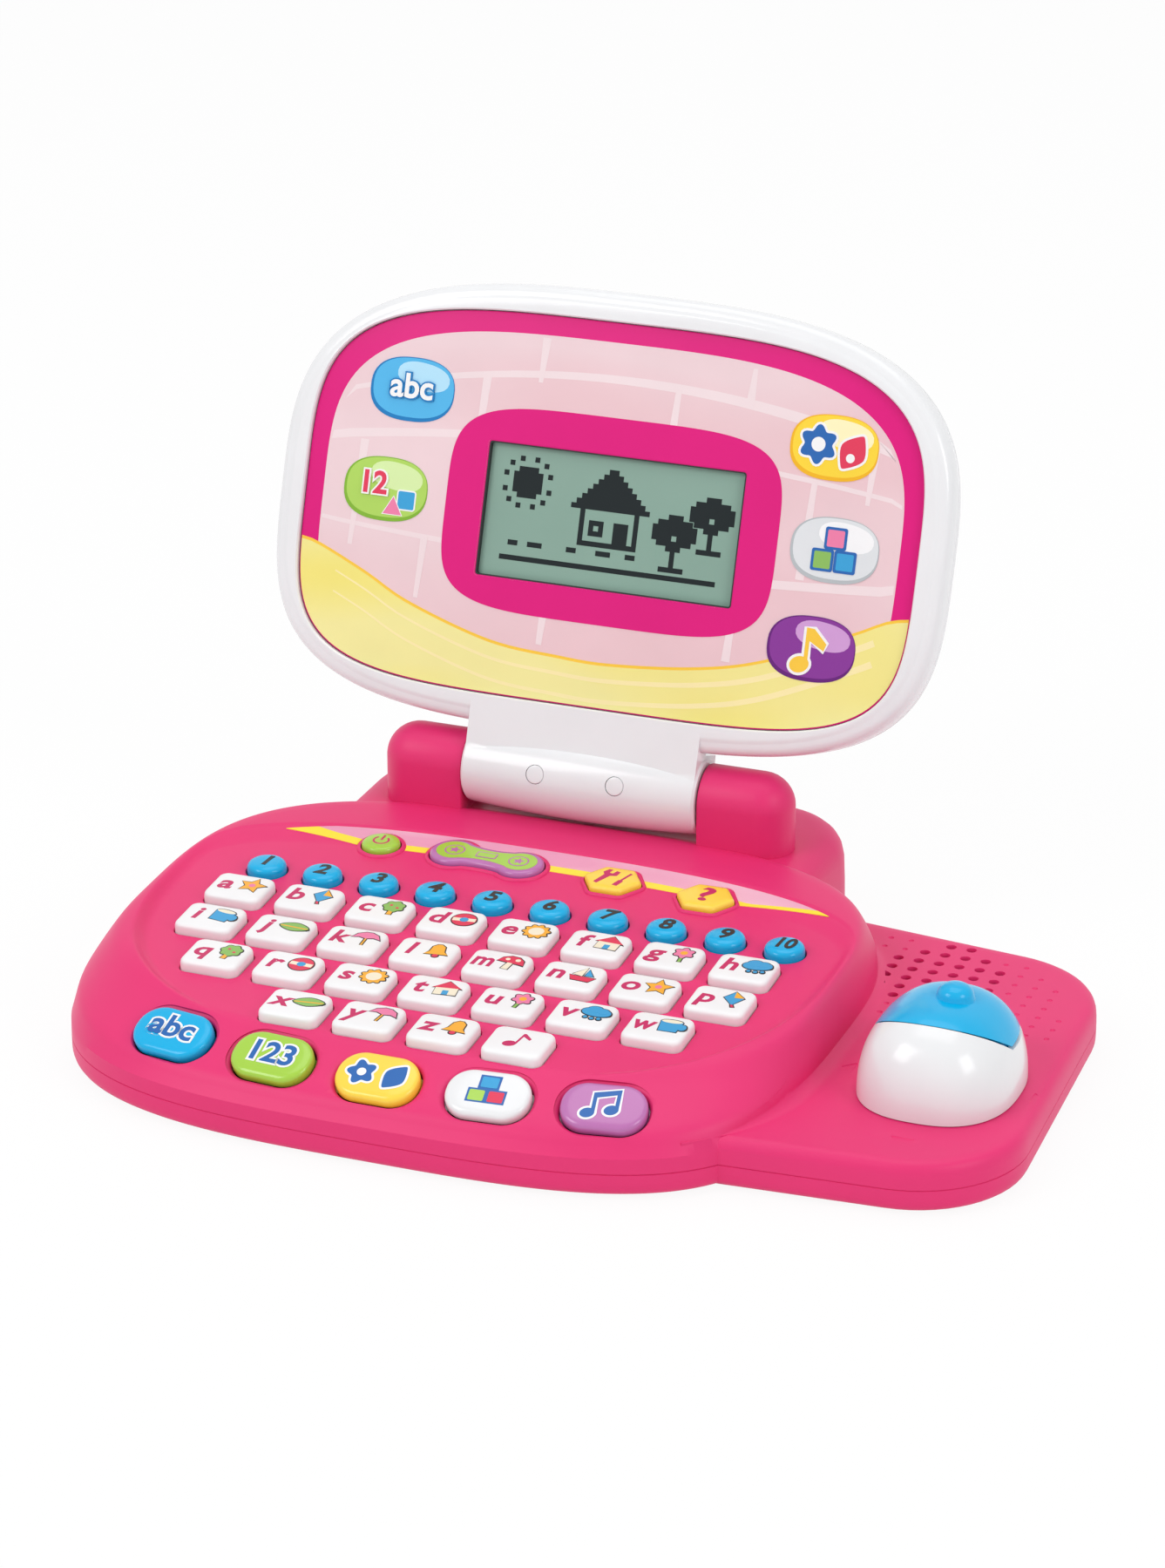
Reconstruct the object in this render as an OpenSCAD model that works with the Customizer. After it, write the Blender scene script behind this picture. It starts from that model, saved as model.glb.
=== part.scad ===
// Toy laptop computer: keyboard body, mouse platform at its right, and a screen lid on a barrel hinge.
// Working frame: X = 0 on the keyboard body's centre line, Y = 0 at the back edge of the first letter row,
// Z = 0 on the table. home() then moves the whole part so that its origin is the centre of its footprint.

/* [Keyboard body] */
// Half width of the keyboard body
body_half = 126.8; // [125.8:0.2:129]
// Half width of the keyboard body on the platform's side, where it is narrower and steeper
body_right = 121.2; // [120.4:0.2:123]
// Centre of the body's plan outline, front to back
body_mid_y = -10.6; // [-11.4:0.2:-10]
// Reach of the outline in front of its centre
body_front = 100.6; // [100:0.2:104]
// Reach of the outline behind its centre
body_back = 95.8; // [95:0.2:98]
// Squareness of the front of the outline
body_front_n = 3.25; // [3.15:0.05:3.5]
// Squareness of the back of the outline
body_back_n = 3.2; // [3.1:0.05:3.4]
// Height of the body's rim above the table, at Y = 0
rim_z = 37.3; // [37:0.1:37.8]
// Rise of the rim towards the back, in mm per mm
rim_slope = 0.038; // [0.03:0.001:0.04]
// Height of the joint between upper and lower shells
parting_z = 9; // [8:0.5:10]
// Wall of the plastic shells
wall = 2.2; // [1.8:0.1:2.4]
// Underside of the lower shell, above the table
belly_z = 1.2; // [1:0.1:2]

/* [Front slope] */
// Depth of the slope's foot below the rim
slope_foot_drop = 13; // [12:0.5:14]
// Depth of the slope's head below the rim
slope_head_drop = 5; // [4:0.5:6]
// How far the slope's foot lies behind the front edge
slope_foot_inset = 5.7; // [5.2:0.1:6.4]
// How far the slope's head lies behind the front edge
slope_head_inset = 23.7; // [23:0.1:25]

/* [Rear block and mouse platform] */
// Half width of the rear block
rear_half = 85.5; // [85:0.5:90]
// Back edge of the rear block
rear_y = 126; // [126:0.5:134]
// Top of the rear block
rear_z = 38; // [36:0.5:39]
// Corner radius of the rear block
rear_r = 30; // [24:1:32]
// Top of the mouse platform
platform_z = 17.5; // [17:0.5:20]
// Right edge of the platform, at its front corner
platform_right = 194; // [193:0.5:202]
// How much narrower the platform is at its back corner
platform_taper = 6.7; // [4:0.1:10]
// Front edge of the platform, at its right corner
platform_front = -80.5; // [-86:0.5:-79]
// Back edge of the platform, at its right corner
platform_back = 72.5; // [72:0.5:80]
// Corner radius of the platform
platform_r = 36.5; // [30:0.5:38]

/* [Key well] */
// Half width of the well's rim
well_half = 115.5; // [114:0.5:116]
// Centre of the well's outline, front to back
well_mid_y = 10; // [8:0.5:11]
// Reach of the well's rim behind its centre
well_back = 42; // [41:0.5:44]
// Reach of the well's rim in front of its centre
well_front = 104; // [103:0.5:106]
// Width of the well's sloped side wall
well_side = 6; // [5:0.5:7]
// Width of the sloped back wall that carries the label
label_slope = 13; // [12:0.5:14]
// Height of the well's floor at Y = 0
floor_z = 34.8; // [34.4:0.1:35]
// Tilt of the well's floor, in degrees
floor_tilt = 3.3; // [3:0.1:3.6]

/* [Keys] */
// Column pitch of the letter keys
key_pitch_x = 25; // [24:0.1:25.5]
// Row pitch of the letter keys
key_pitch_y = 22.4; // [22:0.1:22.8]
// Width of a letter key
key_w = 20; // [18:0.1:20.4]
// Depth of a letter key
key_d = 17; // [15:0.1:17.4]
// Corner radius of a letter key
key_r = 3; // [2:0.1:4]
// Height of a letter key above the well's floor
key_h = 3.6; // [3:0.1:3.9]
// Travel of the letter and number keys
key_travel = 1.5; // [1:0.1:1.6]
// Gap round each button in its opening
button_gap = 0.4; // [0.3:0.05:0.5]
// Pitch of the number keys
number_pitch = 20.1; // [19.6:0.1:20.5]
// Offset of the number row to the right
number_shift = 4; // [0:0.5:5]
// Place of the number row, front to back
number_y = 10.7; // [10:0.1:13]
// Radius of a number key
number_r = 6.6; // [6:0.1:6.8]

/* [Function buttons] */
// Radius of the power button
power_r = 6.5; // [6:0.1:7]
// Radius of each lobe of the player selector
lobe_r = 8.2; // [7:0.1:8.6]
// Distance between the selector's lobes
lobe_pitch = 24; // [22:0.5:25]
// Corner to corner width of a hexagon button
hex_w = 20.5; // [18:0.5:22]
// Depth of a hexagon button
hex_d = 16; // [14:0.5:17]
// Height of the function buttons above the well's floor
function_h = 2.6; // [2:0.1:2.8]
// Travel of the function buttons
function_travel = 1.2; // [0.8:0.1:1.4]
// Width of a mode button
mode_w = 27; // [24:0.5:28]
// Depth of a mode button along the slope
mode_d = 17.5; // [15:0.5:18]
// Pitch of the mode buttons
mode_pitch = 36; // [34:0.5:36.5]
// Height of the mode buttons above the slope
mode_h = 2.6; // [2:0.1:3]
// Travel of the mode buttons
mode_travel = 1.5; // [1:0.1:1.6]

/* [Hinge] */
// Hinge axis, front to back
hinge_y = 82.7; // [82:0.1:84]
// Hinge axis, height
hinge_z = 53.1; // [53:0.1:54]
// Half length of the lid's barrel
barrel_half = 41.7; // [39:0.1:42]
// Radius of the barrel at its ends
barrel_end_r = 13; // [12:0.1:13.4]
// Radius of the barrel at its middle
barrel_mid_r = 14.8; // [14:0.1:15]
// Gap between the barrel and the ears
ear_gap = 0.5; // [0.4:0.1:0.8]
// Radius of the ears
ear_r = 11.3; // [10.5:0.1:11.6]
// Length of each ear
ear_len = 30.6; // [28:0.1:32]
// Radius of the hinge pins
pin_r = 3.5; // [3:0.1:4]
// Running gap of the hinge pins
pin_gap = 0.05; // [0.03:0.01:0.08]

/* [Lid] */
// Lean of the open lid behind the vertical, in degrees
lid_lean = 19.1; // [15:0.1:22]
// Half width of the lid
lid_half = 118.8; // [117:0.2:120]
// Shift of the lid's outline and faceplate towards the right
lid_shift = -1.4; // [-2:0.2:0]
// Centre of the lid above the hinge axis
lid_mid = 88.5; // [88:0.5:92]
// Half height of the lid
lid_half_h = 74.5; // [73:0.5:75]
// Front of the lid, in front of the hinge axis
lid_front_e = 11.8; // [11.4:0.1:11.8]
// Joint between the lid's two shells, in front of the hinge axis
lid_split_e = 3; // [2:0.5:4]
// Back of the lid, behind the hinge axis
lid_back_e = 6.5; // [6:0.5:9]
// Half width of the printed faceplate
plate_half = 108.8; // [106:0.2:109.4]
// Half height of the printed faceplate
plate_half_h = 64.2; // [62:0.2:65]
// Thickness of the faceplate
plate_t = 1.8; // [1.4:0.1:2]
// Depth of the faceplate below the lid's front
plate_drop = 1.8; // [1.4:0.1:2.2]
// Width of the screen opening
screen_w = 90.8; // [86:0.2:94]
// Height of the screen opening
screen_h = 44.8; // [42:0.2:47]
// Centre of the screen above the hinge axis
screen_mid = 86.2; // [84:0.2:88]

/* [Mouse] */
// Place of the mouse, left to right
mouse_x = 158.5; // [157:0.5:161]
// Place of the mouse, front to back
mouse_y = -25; // [-27:0.5:-22]
// Half width of the mouse
mouse_half_w = 25; // [23:0.5:26]
// Half length of the mouse
mouse_half_l = 30; // [27:0.5:31]
// Height of the mouse
mouse_h = 30; // [26:0.5:32]
// Sliding gap under the mouse
mouse_gap = 0.3; // [0.2:0.1:0.5]
// Mouse travel each way
mouse_travel = 4; // [3:0.5:4.5]
// Radius of the mouse's stem
stem_r = 5; // [4:0.1:5.5]
// Turn of the mouse's click button, in degrees
click_turn = 2; // [1:0.5:2.5]

/* [Speaker] */
// Centre of the speaker, left to right
speaker_x = 135.2; // [134:0.5:137]
// Centre of the speaker, front to back
speaker_y = 47.4; // [46:0.5:49]
// Radius of the speaker's basket
speaker_r = 20; // [18:0.5:20.5]
// Pitch of the speaker's holes
grille_pitch = 6.9; // [6.4:0.1:7]
// Radius of a speaker hole
grille_r = 1.6; // [1.2:0.1:1.8]

/* [Batteries, screws and feet] */
// Radius of an AA cell
cell_r = 7.1; // [6.9:0.1:7.2]
// Length of an AA cell
cell_len = 50; // [49:0.5:50.5]
// Pitch of the cells
cell_pitch = 15.4; // [15:0.1:15.6]
// Radius of a screw's shank
screw_r = 1.4; // [1.2:0.1:1.5]
// Radius of a screw's head
screw_head_r = 2.9; // [2.6:0.1:3]
// Radius of a rubber foot
foot_r = 6; // [5:0.5:7]

/* [Hidden] */
COUNT = 48;         // points round an oval outline
ROUND = 64;         // segments of a true circle, which is rebuilt as an exact one
eps = 0.01;
pink = [0.90, 0.20, 0.45];
white = [0.96, 0.96, 0.97];
magenta = [0.88, 0.10, 0.50];
blue = [0.05, 0.66, 0.88];
lime = [0.62, 0.80, 0.22];
yellow = [0.98, 0.84, 0.28];
purple = [0.74, 0.42, 0.68];
steel = [0.75, 0.76, 0.78];
dark = [0.15, 0.15, 0.17];

platform_root = 60;  // where the platform runs out inside the body
platform_front_slope = 0.063;
platform_back_slope = 0.115;
shoulder_z = 15;    // the body is widest up to here
right_share = 0.5;  // how far the dome draws in on the platform's side, against the other side
right_power = 6;    // how late towards that side the outline narrows

floor_slope = tan(floor_tilt);
function rim_at(y) = rim_z + rim_slope * y;
function floor_at(y) = floor_z + floor_slope * y;

// Letter keys: name, column in pitches from the first column, row
LETTERS = [
    ["a", 0, 0], ["b", 1, 0], ["c", 2, 0], ["d", 3, 0], ["e", 4, 0], ["f", 5, 0], ["g", 6, 0], ["h", 7, 0],
    ["i", 0, 1], ["j", 1, 1], ["k", 2, 1], ["l", 3, 1], ["m", 4, 1], ["n", 5, 1], ["o", 6, 1], ["p", 7, 1],
    ["q", 0.5, 2], ["r", 1.5, 2], ["s", 2.5, 2], ["t", 3.5, 2], ["u", 4.5, 2], ["v", 5.5, 2], ["w", 6.5, 2],
    ["x", 2, 3], ["y", 3, 3], ["z", 4, 3], ["note", 5, 3],
];
first_col_x = -3.5 * key_pitch_x;
first_row = -key_d / 2;
// Number keys: two moulded combs of five
combs = [[0, 4], [5, 9]];
number_x0 = number_shift - 4.5 * number_pitch;

// Function buttons: place in the plane of the well's floor
power_at = [-57.2, 38.3];
selector_at = [-19.5, 39.3];
selector_turn = -3;
tools_at = [25.7, 37.8];
help_at = [58.7, 35.8];
collar = 1.6;       // width of the raised collar round a function button
collar_h = 0.8;

// Mode buttons, from left to right, on an arc that bulges forward
MODES = ["letters", "numbers", "nature", "games", "music"];
mode_colours = [blue, lime, yellow, white, purple];
mode_arc_r = 430;
slope_foot = [body_mid_y - body_front + slope_foot_inset, 0];
slope_head = [body_mid_y - body_front + slope_head_inset, 0];
slope_foot_z = rim_at(slope_foot.x) - slope_foot_drop;
slope_head_z = rim_at(slope_head.x) - slope_head_drop;
slope_angle = atan((slope_head_z - slope_foot_z) / (slope_head.x - slope_foot.x));
mode_mid_y = (slope_foot.x + slope_head.x) / 2 - 1.5;
mode_mid_z = slope_foot_z + (mode_mid_y - slope_foot.x) * tan(slope_angle);
function mode_yaw(i) = asin((i - 2) * mode_pitch / mode_arc_r);

flange_t = 1.2;     // retaining flange under the well's floor
flange_w = 1;       // how far the flange reaches past the button
flange_drop = 0.1;
stem_len = 1;       // stub below the flange that presses the rubber
button_stub_r = 3;
pad_gap = 0.2;
sheet_t = 1.2;      // rubber keypad sheet
dome_h = 1.2;
dome_r = 3.5;
board_t = 1.6;
flange_low = wall + flange_drop + flange_t;
dome_top = flange_low + stem_len + key_travel + pad_gap;
sheet_top = dome_top + dome_h;
board_top = sheet_top + sheet_t;
board_low = board_top + board_t;
board_edge = 0.55;  // board beyond the outermost dome
board_half = max(number_shift + 4.5 * number_pitch, 3.5 * key_pitch_x) + dome_r + board_edge;
board_front = 80;
board_back = 44;
board_post_r = 3.5;
mode_skirt = 1.2;
mode_low = wall + 0.6 + flange_t;
mode_plug_w = mode_w - 4;
mode_plug_d = mode_d - 7;   // the plug under the cap clears the front wall
mode_board = [154, 13.5];     // strip that carries the switches of the mode buttons
mode_board_top = mode_low + mode_travel + pad_gap + 4.5;
mode_post_x = 27;
mode_post_y = mode_mid_y + (mode_board_top + board_t) * sin(slope_angle);
board_posts = [[-80, -70], [80, -70], [-80, 26], [80, 26], [0, -20]];

rear_front_y = 58;
trough_r = barrel_mid_r + 0.8;
ear_in = barrel_half + ear_gap;
ear_boss_r = 6;
pin_in_barrel = 6;
pin_in_ear = 12;

grille_rows = [2, 4, 6, 6, 6, 6, 4, 2];
speaker_top = platform_z - wall;
speaker_h = 9.5;
magnet_r = 11;

stem_hole = stem_r + mouse_travel + 0.5;
carriage_half = 22;
carriage_t = 2;
carriage_top = platform_z - wall - 0.1;
stem_flange_t = 1.6;
stem_low = carriage_top - carriage_t - 0.3 - stem_flange_t;
mouse_wall = 2;
mouse_base_z = platform_z + mouse_gap;
// Click button: its front edge slopes down both sides of the mouse to a level edge
click_front = [mouse_y - 16.4, mouse_base_z + 26.8];    // where it hinges
click_slope = 0.66;
click_side_z = mouse_base_z + 16.2;
click_gap = 0.35;
nub_r = 5.4;
nub_at = [mouse_x + 1, mouse_y + 4, mouse_base_z + mouse_h - 1.2];

boss_r = 3.4;
// Screw posts: place and height of the wall that each boss reaches, less where the wall rounds off
shell_screws = [
    [-111.3, -45, rim_at(-45) - 1], [111.3, -45, rim_at(-45) - 1],
    [-84, 56, rim_at(56)], [84, 56, rim_at(56)],
    [-67, 106, rear_z], [67, 106, rear_z], [176, -54, platform_z], [172, 48, platform_z],
    [-54, -84.5, floor_at(-84.5) - 1], [54, -84.5, floor_at(-84.5) - 1],
];
screw_head_h = 2;
screw_head_z = 3.2;
screw_len = 11.5;
feet_at = [[-86, -70], [86, -74], [-52, 112], [52, 112], [164, -58], [160, 48]];
foot_h = 2;

door_half = [33, 25];
door_mid_y = 92;
door_gap = 0.3;
box_wall = 2;
cell_z = belly_z + wall + cell_r + 0.05;
cell_box_top = cell_z + cell_r + 1.5;
contact_t = 0.5;
contact_w = 10;
spring_wide_r = 4;
spring_tip_r = 2.5;
clear_cut = 400;    // size of a block that cuts away all on one side

plug_r = 3.3;
plug_x = 14.2;
plug_t = 2.2;
plug_seat = barrel_mid_r - plug_t - 0.2;
lid_screws_at = [[-78, 50], [78, 50], [-78, 126], [78, 126]];
lid_boss_r = 3.2;
lid_post_top = -3;  // where the bosses of the two shells meet
lid_head_t = 1.1;   // thickness of a lid screw's head, sunk in the back cover
lid_screw_len = 10;
plate_top = lid_front_e - plate_drop;
shelf_top = plate_top - plate_t;
shelf_t = 2;
shelf_low = shelf_top - shelf_t;
window_t = 1.6;
module_t = 2.8;
neck_half = barrel_half - 0.7;
neck_back = 8;
neck_len = lid_mid - lid_half_h - 0.5;

// ---- outlines and lofts ----

function spow(v, e) = sign(v) * pow(abs(v), e);

// Oval outline: half width, reach in front of and behind its centre, and their squareness
function oval(half, front, back, n_front, n_back) = [
    for (i = [0:COUNT - 1])
        let (t = 360 * i / COUNT, is_front = sin(t) < 0, n = is_front ? n_front : n_back)
            [half * spow(cos(t), 2 / n), (is_front ? front : back) * spow(sin(t), 2 / n)]
];

// A ring of points over an outline, on the plane z = z0 + slope * y
function ring(outline, mid_y, z0, slope) = [for (p = outline) [p.x, p.y + mid_y, z0 + slope * (p.y + mid_y)]];

// Outline with straight sides and round corners, moved inwards by inset
function round_corner(a, p, b, r, inset) =
    let (u = (p - a) / norm(p - a), v = (b - p) / norm(b - p),
         turn = atan2(u.x * v.y - u.y * v.x, u * v),
         centre = p - u * r * tan(turn / 2) + r * [-u.y, u.x],
         start = atan2(-u.x, u.y))
        [for (i = [0:6]) centre + (r - inset) * [cos(start + turn * i / 6), sin(start + turn * i / 6)]];
function round_outline(corners, radii, inset) =
    let (n = len(corners))
        [for (i = [0:n - 1])
            each round_corner(corners[(i + n - 1) % n], corners[i], corners[(i + 1) % n], radii[i], inset)];

// Closed solid through rings of the same number of points, from the lowest to the highest
module loft(rings) {
    n = len(rings[0]);
    m = len(rings);
    points = [for (r = rings) each r];
    bottom = [for (i = [0:n - 1]) i];
    top = [for (i = [n - 1:-1:0]) (m - 1) * n + i];
    sides = [
        for (k = [0:m - 2], i = [0:n - 1])
            let (j = (i + 1) % n, a = k * n + i, b = k * n + j, c = a + n, d = b + n)
                each [[a, c, d], [a, d, b]]
    ];
    polyhedron(points, concat([bottom, top], sides), convexity = 6);
}

module round_rect(w, d, r) {
    square([w - 2 * r, d], center = true);
    square([w, d - 2 * r], center = true);
    for (x = [-1, 1], y = [-1, 1])
        translate([x * (w / 2 - r), y * (d / 2 - r)])
            circle(r, $fn = ROUND);
}

// ---- places ----

// Outlines of lid and platform: they set the origin, at the centre of the part's footprint
function lid_ring(inset, e) = [
    for (p = oval(lid_half - inset, lid_half_h - inset, lid_half_h - inset, 3.6, 3))
        [p.x + lid_shift, p.y + lid_mid, e]
];
lid_back_rings = [
    lid_ring(0, -lid_split_e), lid_ring(1.6, 0.5), lid_ring(4.2, lid_back_e - 3),
    lid_ring(10, lid_back_e - 0.8), lid_ring(18, lid_back_e)
];
lid_reach = max([for (r = lid_back_rings) for (p = r) p.y * sin(lid_lean) + p.z * cos(lid_lean)]);
platform_corners = [
    [platform_root, platform_front - platform_front_slope * (platform_right - platform_root)],
    [platform_right, platform_front],
    [platform_right - platform_taper, platform_back],
    [platform_root, platform_back + platform_back_slope * (platform_right - platform_root)]
];
function platform_outline(inset) = round_outline(platform_corners, [8, platform_r, platform_r, 8], inset);
platform_reach = max([for (p = platform_outline(0)) p.x]);
home_x = (platform_reach - body_half) / 2;
home_y = (hinge_y + lid_reach + body_mid_y - body_front) / 2;

module home() {
    translate([-home_x, -home_y, 0])
        children();
}

// The plane of the well's floor: local z = 0 on the floor, local y along its slope
module on_floor() {
    translate([0, 0, floor_z])
        rotate([floor_tilt, 0, 0])
            children();
}

// The place of mode button i: local z = 0 on the slope's surface
module at_mode(i) {
    yaw = mode_yaw(i);
    translate([mode_arc_r * sin(yaw), mode_mid_y + mode_arc_r * (1 - cos(yaw)), mode_mid_z])
        rotate([0, 0, yaw])
            rotate([slope_angle, 0, 0])
                children();
}

// The lid's own plane: local y up the lid from the hinge axis, local z towards its front
module on_lid() {
    translate([0, hinge_y, hinge_z])
        rotate([90 - lid_lean, 0, 0])
            children();
}

module at_letter(key) {
    translate([first_col_x + key[1] * key_pitch_x, first_row - key[2] * key_pitch_y, 0])
        children();
}

module at_number(i) {
    translate([number_x0 + i * number_pitch, number_y, 0])
        children();
}

// ---- button shapes, grown by g for their openings ----

module letter_shape(g) round_rect(key_w + 2 * g, key_d + 2 * g, key_r + g);
module number_shape(g) circle(number_r + g, $fn = ROUND);
module mode_shape(g) round_rect(mode_w + 2 * g, mode_d + 2 * g, mode_d / 2 - 0.5 + g);

module power_shape(g)
    translate(power_at)
        circle(power_r + g, $fn = ROUND);

module selector_shape(g)
    translate(selector_at)
        rotate(selector_turn) {
            for (x = [-1, 1])
                translate([x * lobe_pitch / 2, 0])
                    circle(lobe_r + g, $fn = ROUND);
            square([lobe_pitch, 2 * (lobe_r - 2.6 + g)], center = true);
        }

module hex_shape(at, g)
    translate(at)
        polygon([
            for (p = [[1, 0], [0.5, 1], [-0.5, 1], [-1, 0], [-0.5, -1], [0.5, -1]])
                [p.x * (hex_w / 2 + g), p.y * (hex_d / 2 + g)]
        ]);

module function_shapes(g) {
    power_shape(g);
    selector_shape(g);
    hex_shape(tools_at, g);
    hex_shape(help_at, g);
}

// A button through the well's floor: cap, retaining flange and the stub that presses the rubber.
// The first child is its outline, the second the same outline grown to the flange.
module floor_button(height) {
    on_floor() {
        translate([0, 0, -flange_low])
            linear_extrude(flange_low + height)
                children(0);
        translate([0, 0, -flange_low])
            linear_extrude(flange_t)
                children(1);
    }
}

module stub(at, r = button_stub_r) {
    on_floor()
        translate([at.x, at.y, -flange_low - stem_len])
            cylinder(stem_len + eps, r = r, $fn = ROUND);
}

// ---- the base's solids ----

// Plan outline of the keyboard body, its side moved inwards by side + t and its front by front
function body_outline(side, front, t) =
    let (half = body_half - side - t, drawn_in = body_half - body_right - side * (1 - right_share))
    [for (p = oval(half, body_front - front, body_back - side - t, body_front_n, body_back_n))
        [p.x > 0 ? p.x - drawn_in * pow(p.x / half, right_power) : p.x, p.y]];
function body_ring(side, front, z0, slope, t) = ring(body_outline(side, front, t), body_mid_y, z0, slope);

// The keyboard body, moved inwards by t
module body_dome(t, low) {
    loft([
        body_ring(0, t, low, 0, t),
        body_ring(0.3, 1 + t, shoulder_z, 0, t),
        body_ring(1.8, slope_foot_inset + t, rim_z - slope_foot_drop - t / 2, rim_slope, t),
        body_ring(6, slope_head_inset + t / 2, rim_z - slope_head_drop - t, rim_slope, t),
        body_ring(8.8, slope_head_inset + 6, rim_z - 1.5 - t, rim_slope, t),
        body_ring(12, slope_head_inset + 11, rim_z - t, rim_slope, t),
    ]);
}

module platform_dome(t, low) {
    loft([
        ring(platform_outline(t), 0, low, 0),
        ring(platform_outline(t + 0.2), 0, platform_z - 3.1 - t, 0),
        ring(platform_outline(t + 1), 0, platform_z - 0.9 - t, 0),
        ring(platform_outline(t + 3), 0, platform_z - t, 0),
    ]);
}

function rear_outline(inset) = round_outline(
    [[-rear_half, rear_front_y], [rear_half, rear_front_y], [rear_half, rear_y], [-rear_half, rear_y]],
    [6, 6, rear_r, rear_r] + [for (i = [0:3]) 8], inset);

module rear_dome(t, low) {
    loft([
        ring(rear_outline(t), 0, low, 0),
        ring(rear_outline(t + 0.6), 0, rear_z - 9 - t, 0),
        ring(rear_outline(t + 2.6), 0, rear_z - 3.5 - t, 0),
        ring(rear_outline(t + 6), 0, rear_z - 0.9 - t, 0),
        ring(rear_outline(t + 11), 0, rear_z - t, 0),
    ]);
}

// The key well, with its side and back walls sloping out to the rim; grown by t for the shell below it
function well_ring(side, back, z0, slope) =
    ring(oval(well_half - side, well_front - side, well_back - back, 2.8, 2.7), well_mid_y, z0, slope);
module key_well(t) {
    loft([
        well_ring(well_side - t, label_slope - t, floor_z - t, floor_slope),
        well_ring(-t, -t, rim_z - t / 2, rim_slope),
        well_ring(-t, -t, rim_z + 8, rim_slope),
    ]);
}

module hinge_trough(r) {
    translate([-ear_in, hinge_y, hinge_z])
        rotate([0, 90, 0])
            cylinder(2 * ear_in, r = r, $fn = ROUND);
}

module base_cavity() {
    difference() {
        union() {
            body_dome(wall, parting_z - 1);
            platform_dome(wall, parting_z - 1);
            rear_dome(wall, parting_z - 1);
        }
        key_well(wall);
        hinge_trough(trough_r + wall);
    }
}

// One hinge ear, as an arch with a ball end, inset by t
module ear(t) {
    mid = ear_in + ear_len - ear_r;
    r = ear_r - t;
    translate([ear_in + t, hinge_y, hinge_z])
        rotate([0, 90, 0])
            cylinder(mid - ear_in - t, r = r, $fn = ROUND);
    translate([mid, hinge_y, hinge_z])
        sphere(r, $fn = ROUND);
    translate([0, 0, rear_z - 5 - 2 * t])
        linear_extrude(hinge_z - rear_z + 5 + 2 * t) {
            translate([ear_in + t, hinge_y - r])
                square([mid - ear_in - t, 2 * r]);
            translate([mid, hinge_y])
                circle(r, $fn = ROUND);
        }
}

module ears() {
    for (side = [0, 1])
        mirror([side, 0, 0])
            children();
}

module base_upper() {
    home()
        color(pink)
            difference() {
                union() {
                    difference() {
                        union() {
                            body_dome(0, parting_z);
                            platform_dome(0, parting_z);
                            rear_dome(0, parting_z);
                        }
                        key_well(0);
                        hinge_trough(trough_r);
                        base_cavity();
                    }
                    on_floor()
                        translate([0, 0, -wall])
                            linear_extrude(wall + collar_h)
                                function_shapes(collar);
                    ears()
                        ear(0);
                    for (s = shell_screws)
                        translate([s.x, s.y, parting_z])
                            cylinder(s.z - parting_z - wall / 2, r = boss_r, $fn = ROUND);
                    for (y = [-1, 1])
                        translate([mouse_x, mouse_y + y * (carriage_half + 1.3), carriage_top - 3])
                            translate([-30, -1, 0])
                                cube([60, 2, 3 + wall / 2]);
                }
                ears()
                    difference() {
                        ear(wall);
                        translate([ear_in, hinge_y, hinge_z])
                            rotate([0, 90, 0])
                                cylinder(pin_in_ear, r = ear_boss_r, $fn = ROUND);
                    }
                ears()
                    translate([ear_in - 1, hinge_y, hinge_z])
                        rotate([0, 90, 0])
                            cylinder(pin_in_ear + 2, r = pin_r, $fn = ROUND);
                on_floor()
                    translate([0, 0, -wall - 1])
                        linear_extrude(wall + 12) {
                            for (k = LETTERS)
                                at_letter(k)
                                    letter_shape(button_gap);
                            for (i = [0:9])
                                at_number(i)
                                    number_shape(button_gap);
                            function_shapes(button_gap);
                        }
                for (i = [0:4])
                    at_mode(i)
                        translate([0, 0, -wall - 2])
                            linear_extrude(wall + 12)
                                mode_shape(button_gap);
                for (s = shell_screws)
                    translate([s.x, s.y, parting_z - 1])
                        cylinder(screw_head_z + screw_len + 2 - parting_z, r = screw_r, $fn = ROUND);
                for (row = [0:len(grille_rows) - 1], col = [0:grille_rows[row] - 1])
                    translate([speaker_x + (col - (grille_rows[row] - 1) / 2) * grille_pitch,
                               speaker_y + (3.5 - row) * grille_pitch, platform_z - wall - 1])
                        cylinder(wall + 2, r = grille_r, $fn = ROUND);
                translate([mouse_x - stem_hole, mouse_y - stem_hole, platform_z - wall - 1])
                    cube([2 * stem_hole, 2 * stem_hole, wall + 2]);
            }
}

// All three parts of the base's plan outline, moved inwards by t
module base_plan(t) {
    translate([0, body_mid_y])
        polygon(body_outline(0, t, t));
    polygon(platform_outline(t));
    polygon(rear_outline(t));
}

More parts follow.
